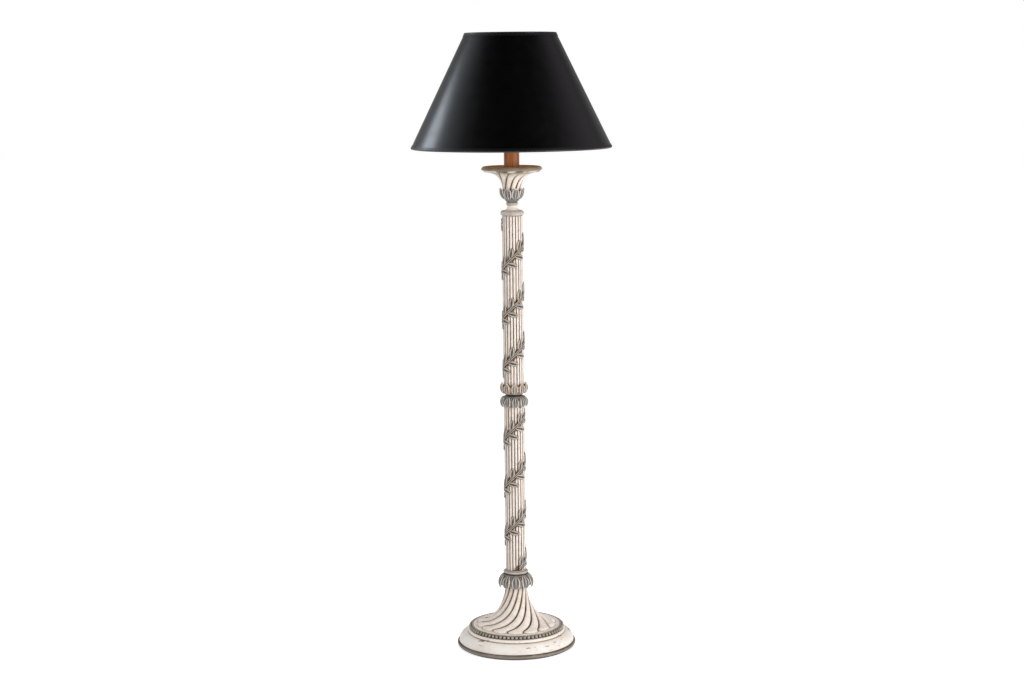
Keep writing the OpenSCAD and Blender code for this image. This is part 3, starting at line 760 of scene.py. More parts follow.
@dataclass(frozen=True)
class CarvedPewter:
    """Silvery grey leaf paint, pale painted highlight on the rims, slate painted shade in the
    hollows.

    What lies behind the leaves, and the gaps between them, keep a worn gilding.
    """

    name: str
    body: Colour
    rim: Colour
    hollow: Colour
    gilt: Colour
    deep: Colour
    gap: float = 0.009
    core: float = 0.005

    def build(self) -> bpy.types.Material:
        """Makes the material.

        Returns:
            The material.
        """
        g = Graph(self.name, 0.5, specular=0.35)
        relief = g.tone("relief")
        cloud = g.noise(110, 5, 0.6)
        colour = g.mix(g.ramp(cloud, (0.4, 0.0), (0.75, 0.4)), self.body, self.hollow)
        # Painted shade in the carving's hollows and painted highlight on its rims, rib and tips.
        sunk = g.ramp(relief, (0.08, 1.0), (0.44, 0.0))
        colour = g.mix(sunk, colour, self.hollow)
        raised = g.clamp("MULTIPLY", g.ramp(relief, (0.58, 0.0), (0.86, 1.0)),
                         g.ramp(g.noise(160, 4), (0.3, 0.45), (0.58, 1.0)))
        colour = g.mix(raised, colour, self.rim)
        warm = g.ramp(g.noise(75, 3, 0.6), (0.4, 0.35), (0.6, 1.0))
        colour = g.mix(g.clamp("MULTIPLY", g.tone("back"), warm), colour, self.gilt)
        gap = g.crevice(self.gap, (0.34, 1.0), (0.74, 0.0))
        colour = g.mix(g.clamp("MULTIPLY", gap, warm), colour, self.gilt)
        # Painted shade at the core of the deepest gaps.
        colour = g.mix(g.crevice(self.core, (0.3, 1.0), (0.68, 0.0)), colour, self.deep)
        normal = g.bump(g.noise(1100, 3), 0.0002, 0.35, g.bump(g.noise(320, 4), 0.0006, 0.4))
        return g.done(colour, normal, g.ramp(g.noise(140, 3), (0.3, 0.4), (0.7, 0.6)))


@dataclass(frozen=True)
class RubbedGilt:
    """Pewter paint on a pan's rim, ochre gilding on top, and a pale lip below with painted shade.
    """

    name: str
    rim: Colour
    worn: Colour
    gilt: Colour
    bare: Colour
    lip: Colour
    stain_and_shade: Colour
    deep: Colour
    foot: float
    dish_r: float
    dish_edge: tuple[float, float] = (0.006, 0.002)
    dish_level: tuple[float, float] = (0.006, 0.009)
    lip_level: tuple[float, float] = (0.0052, 0.0036)

    def build(self) -> bpy.types.Material:
        """Makes the material.

        Returns:
            The material.
        """
        g = Graph(self.name, 0.5, specular=0.4)
        cloud = g.noise(55, 6, 0.65)
        colour = g.mix(g.ramp(cloud, (0.35, 0.0), (0.66, 1.0)), self.rim, self.worn)
        edge = g.shaken(g.radius(), g.noise(45, 4), 0.006)
        gilding = g.mix(g.ramp(g.noise(38, 6, 0.6), (0.42, 0.0), (0.64, 1.0)),
                        self.gilt, self.bare)
        height = g.number("SUBTRACT", g.axis("Z"), self.foot)
        outside = g.number("SUBTRACT", edge, self.dish_r)
        top = g.clamp("MULTIPLY", g.span(outside, *self.dish_edge),
                      g.span(height, *self.dish_level))
        colour = g.mix(top, colour, gilding)
        # Dark blotches on the pale lip under the pan: staining and painted shade.
        lip = g.mix(g.ramp(g.noise(24, 3), (0.44, 0.0), (0.56, 1.0)), self.stain_and_shade, self.lip)
        colour = g.mix(g.span(height, *self.lip_level), colour, lip)
        # Painted shade in the crevices.
        colour = g.mix(g.crevice(0.005, (0.4, 0.9), (0.8, 0.0)), colour, self.deep)
        normal = g.bump(g.noise(700, 3), 0.0002, 0.35, g.bump(g.noise(160, 4), 0.0006, 0.4))
        return g.done(colour, normal, g.ramp(g.noise(60, 3), (0.3, 0.36), (0.7, 0.58)))


@dataclass(frozen=True)
class CandleWax:
    """Honey-coloured candle sleeve with streaks that ran down it."""

    name: str
    light: Colour
    dark: Colour
    streak: Colour

    def build(self) -> bpy.types.Material:
        """Makes the material.

        Returns:
            The material.
        """
        g = Graph(self.name, 0.42, specular=0.3)
        runs = g.noise(70, 5, 0.6, (2.2, 2.2, 0.14), 0.2)
        colour = g.mix(g.ramp(runs, (0.34, 0.0), (0.66, 1.0)), self.light, self.dark)
        thin = g.ramp(g.noise(190, 4, 0.6, (2, 2, 0.1)), (0.5, 0.0), (0.7, 0.85))
        colour = g.mix(thin, colour, self.streak)
        normal = g.bump(g.noise(800, 2), 0.00015, 0.25, g.bump(runs, 0.0012, 0.5))
        return g.done(colour, normal, g.ramp(thin, (0.0, 0.34), (1.0, 0.5)))


@dataclass(frozen=True)
class SatinCard:
    """Black laminated card of a hard-backed shade, with a fine paper tooth under the sheen."""

    name: str
    colour: Colour
    roughness: float
    tooth: float

    def build(self) -> bpy.types.Material:
        """Makes the material.

        Returns:
            The material.
        """
        g = Graph(self.name, self.roughness, specular=0.5)
        cloud = g.noise(9, 4, 0.5)
        colour = g.mix(g.ramp(cloud, (0.3, 0.0), (0.7, 1.0)), self.colour,
                       tuple(1.35 * c for c in self.colour))
        fibres = g.noise(1500, 2, 0.5, (1, 1, 0.6))
        waves = g.noise(14, 2, 0.4, (1, 1, 0.3))
        normal = g.bump(fibres, 0.00012, self.tooth, g.bump(waves, 0.0012, 0.12))
        rough = g.ramp(g.noise(40, 4), (0.3, self.roughness - 0.025), (0.7, self.roughness + 0.03))
        return g.done(colour, normal, rough)


@dataclass(frozen=True)
class GoldCard:
    """Gold foil lining of the shade, slightly creased."""

    name: str
    light: Colour
    dark: Colour

    def build(self) -> bpy.types.Material:
        """Makes the material.

        Returns:
            The material.
        """
        g = Graph(self.name, 0.4, metallic=0.75)
        colour = g.mix(g.ramp(g.noise(30, 6, 0.6), (0.3, 0.0), (0.7, 1.0)), self.light, self.dark)
        normal = g.bump(g.noise(420, 4, 0.6), 0.0004, 0.3, g.bump(g.noise(22, 3), 0.002, 0.15))
        return g.done(colour, normal, g.ramp(g.noise(80, 4), (0.3, 0.32), (0.7, 0.52)))


class Marks(Enum):
    """Direction of the fine marks on a metal part."""

    SPUN = (1.0, 1.0, 26.0)
    DRAWN = (9.0, 9.0, 0.4)
    CAST = (1.0, 1.0, 1.0)


@dataclass(frozen=True)
class Metal:
    """Bare or lacquered metal with fine tool marks and a little tarnish."""

    name: str
    colour: Colour
    tarnish: Colour
    roughness: float
    marks: Marks
    metallic: float = 1.0

    def build(self) -> bpy.types.Material:
        """Makes the material.

        Returns:
            The material.
        """
        g = Graph(self.name, self.roughness, metallic=self.metallic)
        spots = g.ramp(g.noise(120, 6, 0.62), (0.46, 0.0), (0.72, 0.75))
        colour = g.mix(spots, self.colour, self.tarnish)
        colour = g.mix(g.crevice(0.003, (0.35, 0.7), (0.85, 0.0)), colour, self.tarnish)
        lines = g.noise(260, 3, 0.6, self.marks.value)
        normal = g.bump(lines, 0.0002, 0.3)
        rough = g.ramp(g.noise(180, 3), (0.3, self.roughness * 0.8), (0.7, self.roughness * 1.25))
        return g.done(colour, normal, rough)


@dataclass(frozen=True)
class Moulded:
    """Moulded or pressed material such as rubber, resin, card and felt."""

    name: str
    colour: Colour
    fleck: Colour
    roughness: float
    scale: float
    depth: float
    specular: float = 0.4

    def build(self) -> bpy.types.Material:
        """Makes the material.

        Returns:
            The material.
        """
        g = Graph(self.name, self.roughness, specular=self.specular)
        pattern = g.noise(self.scale, 6, 0.65)
        colour = g.mix(g.ramp(pattern, (0.35, 0.0), (0.7, 1.0)), self.colour, self.fleck)
        fine = g.noise(self.scale * 3.5, 3, 0.6)
        normal = g.bump(fine, self.depth, 0.5, g.bump(pattern, self.depth * 2, 0.4))
        return g.done(colour, normal, g.ramp(pattern, (0.3, self.roughness * 0.85),
                                             (0.7, min(self.roughness * 1.15, 1.0))))


@dataclass(frozen=True)
class FrostedGlass:
    """White frosted envelope of the bulb."""

    name: str
    colour: Colour

    def build(self) -> bpy.types.Material:
        """Makes the material.

        Returns:
            The material.
        """
        g = Graph(self.name, 0.32, specular=0.5)
        g.shader.inputs["Transmission Weight"].default_value = 0.35
        g.shader.inputs["IOR"].default_value = 1.5
        g.shader.inputs["Subsurface Weight"].default_value = 0.3
        g.shader.inputs["Subsurface Radius"].default_value = (0.01, 0.01, 0.01)
        colour = g.mix(g.ramp(g.noise(60, 3), (0.3, 0.0), (0.7, 1.0)), self.colour,
                       tuple(0.96 * c for c in self.colour))
        return g.done(colour, g.bump(g.noise(2500, 2), 0.00005, 0.3))


LOWER_WAY = Helix(-72, low("lower_column").z + 0.0037, 3.17)
UPPER_WAY = Helix(68, high("mid_waist").z + 0.024, 3.25)

CREAM = GroovedPaint(
    "cream_paint", light=paint(252, 244, 236), shade=paint(238, 224, 208),
    wash_and_shade=paint(182, 146, 110), deep=paint(84, 58, 40), wash_and_shade_reach=0.013, wash_and_shade_amount=1.0)
# Its brown under the drip pan is a painted shadow.
CREAM_FLARE = BrimShadowPaint(
    "cream_flare_paint", light=CREAM.light, shade=CREAM.shade, wash_and_shade=paint(184, 158, 122),
    deep=CREAM.deep, wash_and_shade_reach=0.008, wash_and_shade_amount=1.0, brim=high("spiral_flare").z)
# Its dark crevice core is painted shade in the notches between the gadroons' tips.
CREAM_SEAT = AgedPaint(
    "cream_seat_paint", light=CREAM.light, shade=CREAM.shade, wash_and_shade=paint(160, 120, 86),
    deep=paint(64, 42, 28), wash_and_shade_reach=0.011, wash_and_shade_amount=1.0, wash_and_shade_span=(0.6, 0.95))
CREAM_MOULDING = AgedPaint(
    "cream_moulding_paint", light=paint(253, 247, 240), shade=paint(243, 232, 220),
    wash_and_shade=paint(206, 180, 150), deep=paint(160, 126, 94), wash_and_shade_reach=0.007, wash_and_shade_amount=0.55,
    rubs=1.0, rub_colour=paint(120, 88, 66), rub_size=(34.0, 260.0))
LOWER_REEDS = ReededPaint(
    "cream_reed_paint", light=paint(252, 245, 238), shade=paint(240, 227, 213),
    wash_and_shade=paint(168, 124, 84), deep=paint(80, 52, 34), wash_and_shade_reach=0.010, wash_and_shade_amount=1.0,
    wash_and_shade_span=(0.62, 0.95), way=LOWER_WAY)
UPPER_REEDS = replace(LOWER_REEDS, name="cream_reed_paint_upper", way=UPPER_WAY)
PALE_GREY = AgedPaint(
    "pale_grey_paint", light=paint(206, 202, 196), shade=paint(172, 167, 160),
    wash_and_shade=paint(142, 122, 98), deep=paint(66, 48, 34), wash_and_shade_reach=0.006, wash_and_shade_amount=1.0,
    wash_and_shade_span=(0.5, 0.92), rubs=1.0, rub_colour=paint(122, 104, 84), rub_size=(60.0, 160.0))
# Its darker lower tone, pale line and dark band under the top are painted shade and highlight.
PLINTH = LitShadedBandPaint(
    "plinth_paint", light=paint(140, 130, 118), shade=paint(118, 107, 95),
    wash_and_shade=paint(88, 68, 52), deep=paint(58, 38, 27), wash_and_shade_reach=0.007, wash_and_shade_amount=1.0,
    wash_and_shade_span=(0.5, 0.92), rubs=1.0, rub_colour=paint(172, 163, 151), rub_size=(40.0, 220.0),
    parting=0.0075, below=paint(108, 102, 96), line=paint(166, 158, 146),
    brim=high("base_plinth").z)
# Its dark glaze and core between the beads are painted shade as well.
BEADS = AgedPaint(
    "bead_paint", light=paint(180, 170, 157), shade=paint(144, 132, 118),
    wash_and_shade=paint(74, 57, 44), deep=paint(24, 16, 12), wash_and_shade_reach=0.0105, wash_and_shade_amount=1.0,
    rubs=0.6, rub_colour=paint(214, 207, 197))
# Near-black paint on the recessed spool between the collars is painted shade.
WAIST_SHADE = AgedPaint(
    "waist_shade_paint", light=paint(70, 63, 56), shade=paint(48, 42, 37), wash_and_shade=paint(38, 30, 24),
    deep=paint(18, 13, 10), wash_and_shade_reach=0.02, wash_and_shade_amount=1.0)
LEAVES = CarvedPewter(
    "leaf_paint", body=paint(152, 147, 141), rim=paint(238, 233, 225), hollow=paint(62, 61, 65),
    gilt=paint(112, 80, 52), deep=paint(30, 21, 15))
PALE_LEAVES = CarvedPewter(
    "pale_leaf_paint", body=paint(184, 172, 158), rim=paint(248, 239, 226),
    hollow=paint(70, 68, 72), gilt=paint(170, 110, 56), deep=paint(38, 26, 17))
VINE = CarvedPewter(
    "vine_paint", body=paint(134, 126, 116), rim=paint(198, 190, 179), hollow=paint(46, 42, 41),
    gilt=paint(92, 60, 34), deep=paint(24, 16, 11), gap=0.006)
# Dark blotches under its lip are staining and painted shade; its crevices get painted shade.
PAN = RubbedGilt(
    "pan_gilding", rim=paint(156, 146, 130), worn=paint(122, 108, 90), gilt=paint(178, 140, 88),
    bare=paint(146, 112, 70), lip=paint(222, 215, 204), stain_and_shade=paint(98, 78, 62),
    deep=paint(64, 48, 32), foot=low("drip_pan").z, dish_r=0.062)
WAX = CandleWax("honey_wax", paint(192, 122, 58), paint(150, 84, 32), paint(104, 56, 20))
SHADE_CARD = SatinCard("black_satin_card", (0.0004, 0.00035, 0.00045), 0.30, 0.14)
SHADE_TRIM = SatinCard("black_trim_tape", (0.0020, 0.0019, 0.0022), 0.42, 0.5)
LINING = GoldCard("gold_lining", paint(226, 186, 112), paint(186, 140, 74))
BRASS = Metal("lacquered_brass", paint(226, 184, 106), paint(150, 104, 52), 0.28, Marks.SPUN)
ZINC = Metal("zinc_plated_steel", paint(190, 190, 190), paint(120, 118, 114), 0.34, Marks.DRAWN)
IRON = Metal("cast_iron", paint(74, 72, 72), paint(48, 40, 36), 0.62, Marks.CAST, 0.6)
CAP_METAL = Metal("bulb_cap_metal", paint(206, 206, 208), paint(150, 148, 144), 0.26, Marks.SPUN)
FELT = Moulded("charcoal_felt", paint(44, 42, 40), paint(64, 61, 58), 0.95, 900, 0.0006, 0.15)
BOARD = Moulded("hardboard", paint(122, 92, 60), paint(92, 68, 44), 0.75, 260, 0.0003)
RUBBER = Moulded("black_rubber", paint(26, 26, 26), paint(34, 34, 34), 0.6, 300, 0.0001)
PHENOLIC = Moulded("black_phenolic", paint(24, 21, 20), paint(34, 30, 28), 0.3, 420, 0.00005, 0.5)
INSULATION = Moulded("insulating_card", paint(150, 118, 80), paint(126, 96, 62), 0.7, 380, 0.0001)
GLASS = FrostedGlass("frosted_glass", paint(244, 243, 238))


# ---------------------------------------------------------------- turned bodies with lobes


@dataclass(frozen=True)
class Row:
    """One level of a turned body: its crests and its grooves as radius and height."""

    crest: tuple[float, float]
    groove: tuple[float, float]
    turn: float
    round: float

    def holds(self, point: Vector) -> bool:
        """Tells whether a point of the smooth body is on this row."""
        radius, height = self.crest
        return (abs(point.z - height) < SAME
                and abs(math.hypot(point.x, point.y) - radius) < SAME)


@dataclass(frozen=True)
class Turning:
    """Plain ring turned from a closed section."""

    section: Section
    sides: int = 72

    def model(self, name: str) -> bpy.types.Object:
        """Turns the ring.

        Args:
            name: Name of the part.

        Returns:
            The part.
        """
        set_down()
        radius, height = self.section[0]
        bpy.ops.mesh.primitive_circle_add(vertices=self.sides, radius=radius,
                                          location=(0, 0, height))
        ring = bpy.context.object
        ring.name = name
        set_place(ring)
        edit(ring)
        for start, end in zip(self.section, (*self.section[1:], self.section[0])):
            grow(start, end)
        bpy.ops.mesh.select_all(action="SELECT")
        bpy.ops.mesh.remove_doubles(threshold=SAME / 2)
        set_down()
        return ring


@dataclass(frozen=True)
class LobedTurning:
    """Turned body with lobes that sweep round it, parted by narrow grooves."""

    lobes: int
    steps: int
    rows: tuple[Row, ...]
    crease: float = 0.7
    groove_reach: float = 0.010

    def across(self, point: Vector, row: Row) -> float:
        """Place of a point of the smooth body across its lobe.

        Args:
            point: The point.
            row: The row that it is on.

        Returns:
            The place, -1 and 1 in the grooves and 0 on the crest.
        """
        slack = 0.001
        turn = math.degrees(math.atan2(point.y, point.x)) - 90 - row.turn
        share = (turn * self.lobes / 360 + slack) % 1.0 - slack
        return 2 * share - 1

    def gap(self, point: Vector) -> float:
        """Distance from a point to its nearest groove, as a share of the wash's reach."""
        row = next(r for r in self.rows if r.holds(point))
        width = math.tau * row.crest[0] / self.lobes
        return min((1 - abs(self.across(point, row))) * width / 2 / self.groove_reach, 1.0)

    def outside(self, point: Vector, slack: float = 0.1) -> bool:
        """Tells whether a point lies outside the first lobe, with a slack in degrees."""
        turn = math.degrees(math.atan2(point.y, point.x)) - 90
        return not -slack < (turn + slack) % 360 - slack < 360 / self.lobes + slack

    def sector(self) -> bpy.types.Object:
        """Models one lobe, from groove to groove.

        Returns:
            The lobe, open at its ends and sides.
        """
        set_down()
        radius, height = self.rows[0].crest
        bpy.ops.mesh.primitive_circle_add(vertices=self.lobes * self.steps, radius=radius,
                                          location=(0, 0, height))
        lobe = bpy.context.object
        set_place(lobe)
        edit(lobe, self.outside)
        bpy.ops.mesh.delete(type="VERT")
        bpy.ops.mesh.select_all(action="SELECT")
        before, turn = self.rows[0], 0.0
        for row in self.rows:
            if row is not before:
                grow(before.crest, row.crest)
            bpy.ops.transform.rotate(value=-math.radians(row.turn - turn), orient_axis="Z",
                                     center_override=(0, 0, row.crest[1]))
            before, turn = row, row.turn
        set_down()
        return lobe

    def carve(self, lobe: bpy.types.Object) -> None:
        """Rounds the lobe between its crest and its grooves, row by row.

        Args:
            lobe: The smooth lobe.
        """
        for row in self.rows:
            for step in range(1, self.steps // 2 + 1):
                u = 2 * step / self.steps
                near = 0.2 / self.steps
                rise = max(1 - u ** row.round, 0.0) ** 0.5
                radius = blend(row.groove[0], row.crest[0], rise)
                drop = blend(row.groove[1], row.crest[1], rise) - row.crest[1]
                edit(lobe, lambda p: row.holds(p) and abs(abs(self.across(p, row)) - u) < near)
                bpy.ops.transform.resize(
                    value=(radius / row.crest[0], radius / row.crest[0], 1),
                    center_override=(0, 0, row.crest[1]))
                bpy.ops.transform.translate(value=(0, 0, drop))
                set_down()

    def model(self, name: str) -> bpy.types.Object:
        """Models the body.

        Args:
            name: Name of the piece.

        Returns:
            The piece, closed at both ends.
        """
        lobe = self.sector()
        record_tone(lobe, "groove", self.gap)
        bottom = 0.01
        edit(lobe, lambda p: self.gap(p) < bottom)
        bpy.ops.mesh.select_mode(type="EDGE")
        bpy.ops.transform.edge_crease(value=self.crease)
        set_down()
        self.carve(lobe)
        parts = copies(lobe, (turn_about_z(360 * i / self.lobes) for i in range(self.lobes)))
        body = pick_up(*parts)
        bpy.ops.object.join()
        edit(body)
        bpy.ops.mesh.remove_doubles(threshold=SAME)
        set_down()
        finish_with(body, "SUBSURF", levels=1, render_levels=1)
        for level in (self.rows[0].crest[1], self.rows[-1].crest[1]):
            close_rim(body, lambda p: abs(p.z - level) < 2 * SAME)
        return weld(name, [body], CARVED_ANGLE)


# ---------------------------------------------------------------- leaves


@dataclass(frozen=True)
class Leaf:
    """Carved leaf, modelled flat and upright: root at the foot, face to -Y.

    It has a hollow each side of a rib, or one down its middle where the trough is 0.
    """

    length: float
    width: float
    thickness: float
    hollow: float
    camber: float
    arch: float
    curl: float
    widths: tuple[tuple[float, float], ...]
    columns: int = 8
    rows: int = 12
    trough: float = 0.42

    def half_width(self, share: float) -> float:
        """Half width at a place along the leaf, as a share of the widest.

        Args:
            share: The place, 0 at the root and 1 at the tip.

        Returns:
            The half width.
        """
        for (a, start), (b, end) in zip(self.widths, self.widths[1:]):
            if share <= b:
                t = (share - a) / (b - a)
                return blend(start, end, t * t * (3 - 2 * t))
        return self.widths[-1][1]

    def sunk(self, u: float, spread: float) -> float:
        """Share of a hollow at a place across the leaf."""
        return math.exp(-((abs(u) - self.trough) / spread) ** 2)

    def ribbed(self, u: float, s: float, spread: float) -> float:
        """Share of the rib at a place on the leaf, 0 where it has none."""
        return math.exp(-(u / spread) ** 2) * (1 - s) if self.trough else 0.0

    def height(self, u: float, s: float) -> float:
        """How far the carved face stands forward.

        Args:
            u: Place across the leaf, -1 to 1.
            s: Place along the leaf, 0 at the root.

        Returns:
            The height in metres.
        """
        envelope = math.sin(math.pi * min(s + 0.1, 1.0)) ** 0.6
        hollow = self.hollow * self.sunk(u, 0.24 if self.trough else 0.36) * envelope
        rib = 0.35 * self.hollow * self.ribbed(u, s, 0.12)
        return (self.camber * (1 - u * u) + self.arch * math.sin(math.pi * s) ** 0.8
                + self.curl * s ** 4 - hollow + rib)

    def relief(self, u: float, s: float) -> float:
        """Tone of the carving, that the finish paints as shade in the hollows and highlight on the
        rims.

        Args:
            u: Place across the leaf, -1 to 1.
            s: Place along the leaf, 0 at the root.

        Returns:
            0 in the hollows, 1 on the rims and the rib.
        """
        envelope = math.sin(math.pi * min(s + 0.12, 1.0)) ** 0.5
        sunk = self.sunk(u, 0.19 if self.trough else 0.34) * envelope
        rib = self.ribbed(u, s, 0.15)
        edge = max(abs(u) - self.trough - 0.18, 0.0) / 0.3
        tip = max(s - 0.86, 0.0) / 0.14
        return min(max(0.5 - 0.55 * sunk + 0.5 * max(edge, tip, rib), 0.0), 1.0)

    def model(self, name: str) -> bpy.types.Object:
        """Models the leaf.

        Args:
            name: Name of the master.

        Returns:
            The master, with its root at the origin.
        """
        set_down()
        bpy.ops.mesh.primitive_grid_add(x_subdivisions=self.columns, y_subdivisions=self.rows,
                                        size=2, location=(0, 0, 1),
                                        rotation=(math.radians(90), 0, 0))
        leaf = bpy.context.object
        leaf.name = name
        set_place(leaf)
        crest = self.camber + self.arch + max(self.curl, 0.0) + self.hollow
        weigh(leaf, "carving", lambda p: (self.height(p.x, p.z / 2) + self.hollow) / crest)
        record_tone(leaf, "relief", lambda p: self.relief(p.x, p.z / 2))
        for row in range(self.rows + 1):
            level = 2 * row / self.rows
            edit(leaf, lambda p: abs(p.z - level) < 0.1 / self.rows)
            narrow = self.half_width(row / self.rows) * self.width / 2
            bpy.ops.transform.resize(value=(narrow, 1, 1), center_override=(0, 0, level))
            set_down()
        edit(leaf)
        bpy.ops.transform.resize(value=(1, 1, self.length / 2), center_override=(0, 0, 0))
        bpy.ops.transform.translate(value=(0, self.hollow, 0))
        set_down()
        finish_with(leaf, "DISPLACE", vertex_group="carving", direction="Y", strength=-crest,
                    mid_level=0.0)
        finish_with(leaf, "SOLIDIFY", thickness=self.thickness, offset=-1.0)
        finish_with(leaf, "SUBSURF", levels=1, render_levels=1)
        return leaf


def bend(piece: bpy.types.Object, axis: str, radius: float) -> None:
    """Bends a flat part that faces -Y round an axis behind it.

    Args:
        piece: The part.
        axis: X to bend its height, Z to bend its width.
        radius: Radius that its plane takes.
    """
    along = 0 if axis == "Z" else 2
    places = [point.co[along] for point in piece.data.vertices]
    finish_with(piece, "SIMPLE_DEFORM", deform_method="BEND", deform_axis=axis,
                angle=(max(places) - min(places)) / radius)


@dataclass(frozen=True)
class LeafRing:
    """Collar of carved leaves on a bowl, with a plainer row behind and half a step round.

    The bowl's section is an arc about a centre, from a start to an end in degrees.
    """

    node: str
    count: int
    centre: tuple[float, float]
    bowl: float
    start: float
    end: float
    width: float
    turn: float
    rings: tuple[Section, ...]
    upright: bool = False
    behind: float = 0.0018
    ring_tone: float = 0.34

    def row(self, leaf: Leaf, bowl: float, turn: float) -> list[bpy.types.Object]:
        """Bends a leaf to the bowl and copies it round the lamp.

        Args:
            leaf: The leaf.
            bowl: Radius of the bowl's section for this row.
            turn: Angle of the first copy, in degrees.

        Returns:
            The copies.
        """
        master = leaf.model(f"{self.node}_leaf")
        root = bowl * math.radians(self.start)
        if self.upright:
            master.location.z = -root
        else:
            master.rotation_euler.y = math.pi
            master.location.z = root
        set_place(master)
        bend(master, "X", bowl)
        reach = self.centre[0] + bowl
        bend(master, "Z", reach)
        master.location = (0, -reach, self.centre[1])
        set_place(master)
        return copies(master, (turn_about_z(turn + 90 + 360 * i / self.count)
                               for i in range(self.count)))

    def build(self) -> bpy.types.Object:
        """Models the collar in place of its node.

        Returns:
            The piece.
        """
        sweep = math.radians(self.start - self.end)
        inner = self.bowl - self.behind
        front = Leaf(length=self.bowl * sweep, width=self.width, thickness=0.0026, hollow=0.0024,
                     camber=0.0004, arch=0.0, curl=0.0022,
                     widths=((0.0, 0.6), (0.45, 1.0), (0.8, 0.9), (1.0, 0.2)))
        plain = Leaf(length=inner * sweep * 0.8, width=0.66 * self.width, thickness=0.0020,
                     hollow=0.0008, camber=0.0006, arch=0.0, curl=0.0008,
                     widths=((0.0, 0.7), (0.5, 1.0), (0.85, 0.8), (1.0, 0.1)), columns=6, rows=10)
        parts = [Turning(section).model(f"{self.node}_ring") for section in self.rings]
        for part in parts:
            record_tone(part, "relief", lambda p: self.ring_tone)
            record_tone(part, "back", lambda p: 0.0)
        half = 180 / self.count
        for leaf, bowl, turn, back in ((front, self.bowl, self.turn, 0.0),
                                       (plain, inner, self.turn + half, 1.0)):
            leaves = self.row(leaf, bowl, turn)
            for part in leaves:
                record_tone(part, "back", lambda p: back)
            parts += leaves
        return weld(f"{self.node}_carving", parts, CARVED_ANGLE)


@dataclass(frozen=True)
class Strand:
    """One strand of a stem: its lift over the middle, half width, height, and share of gilding and
    painted shade.
    """

    lift: float
    width: float
    proud: float
    back: float


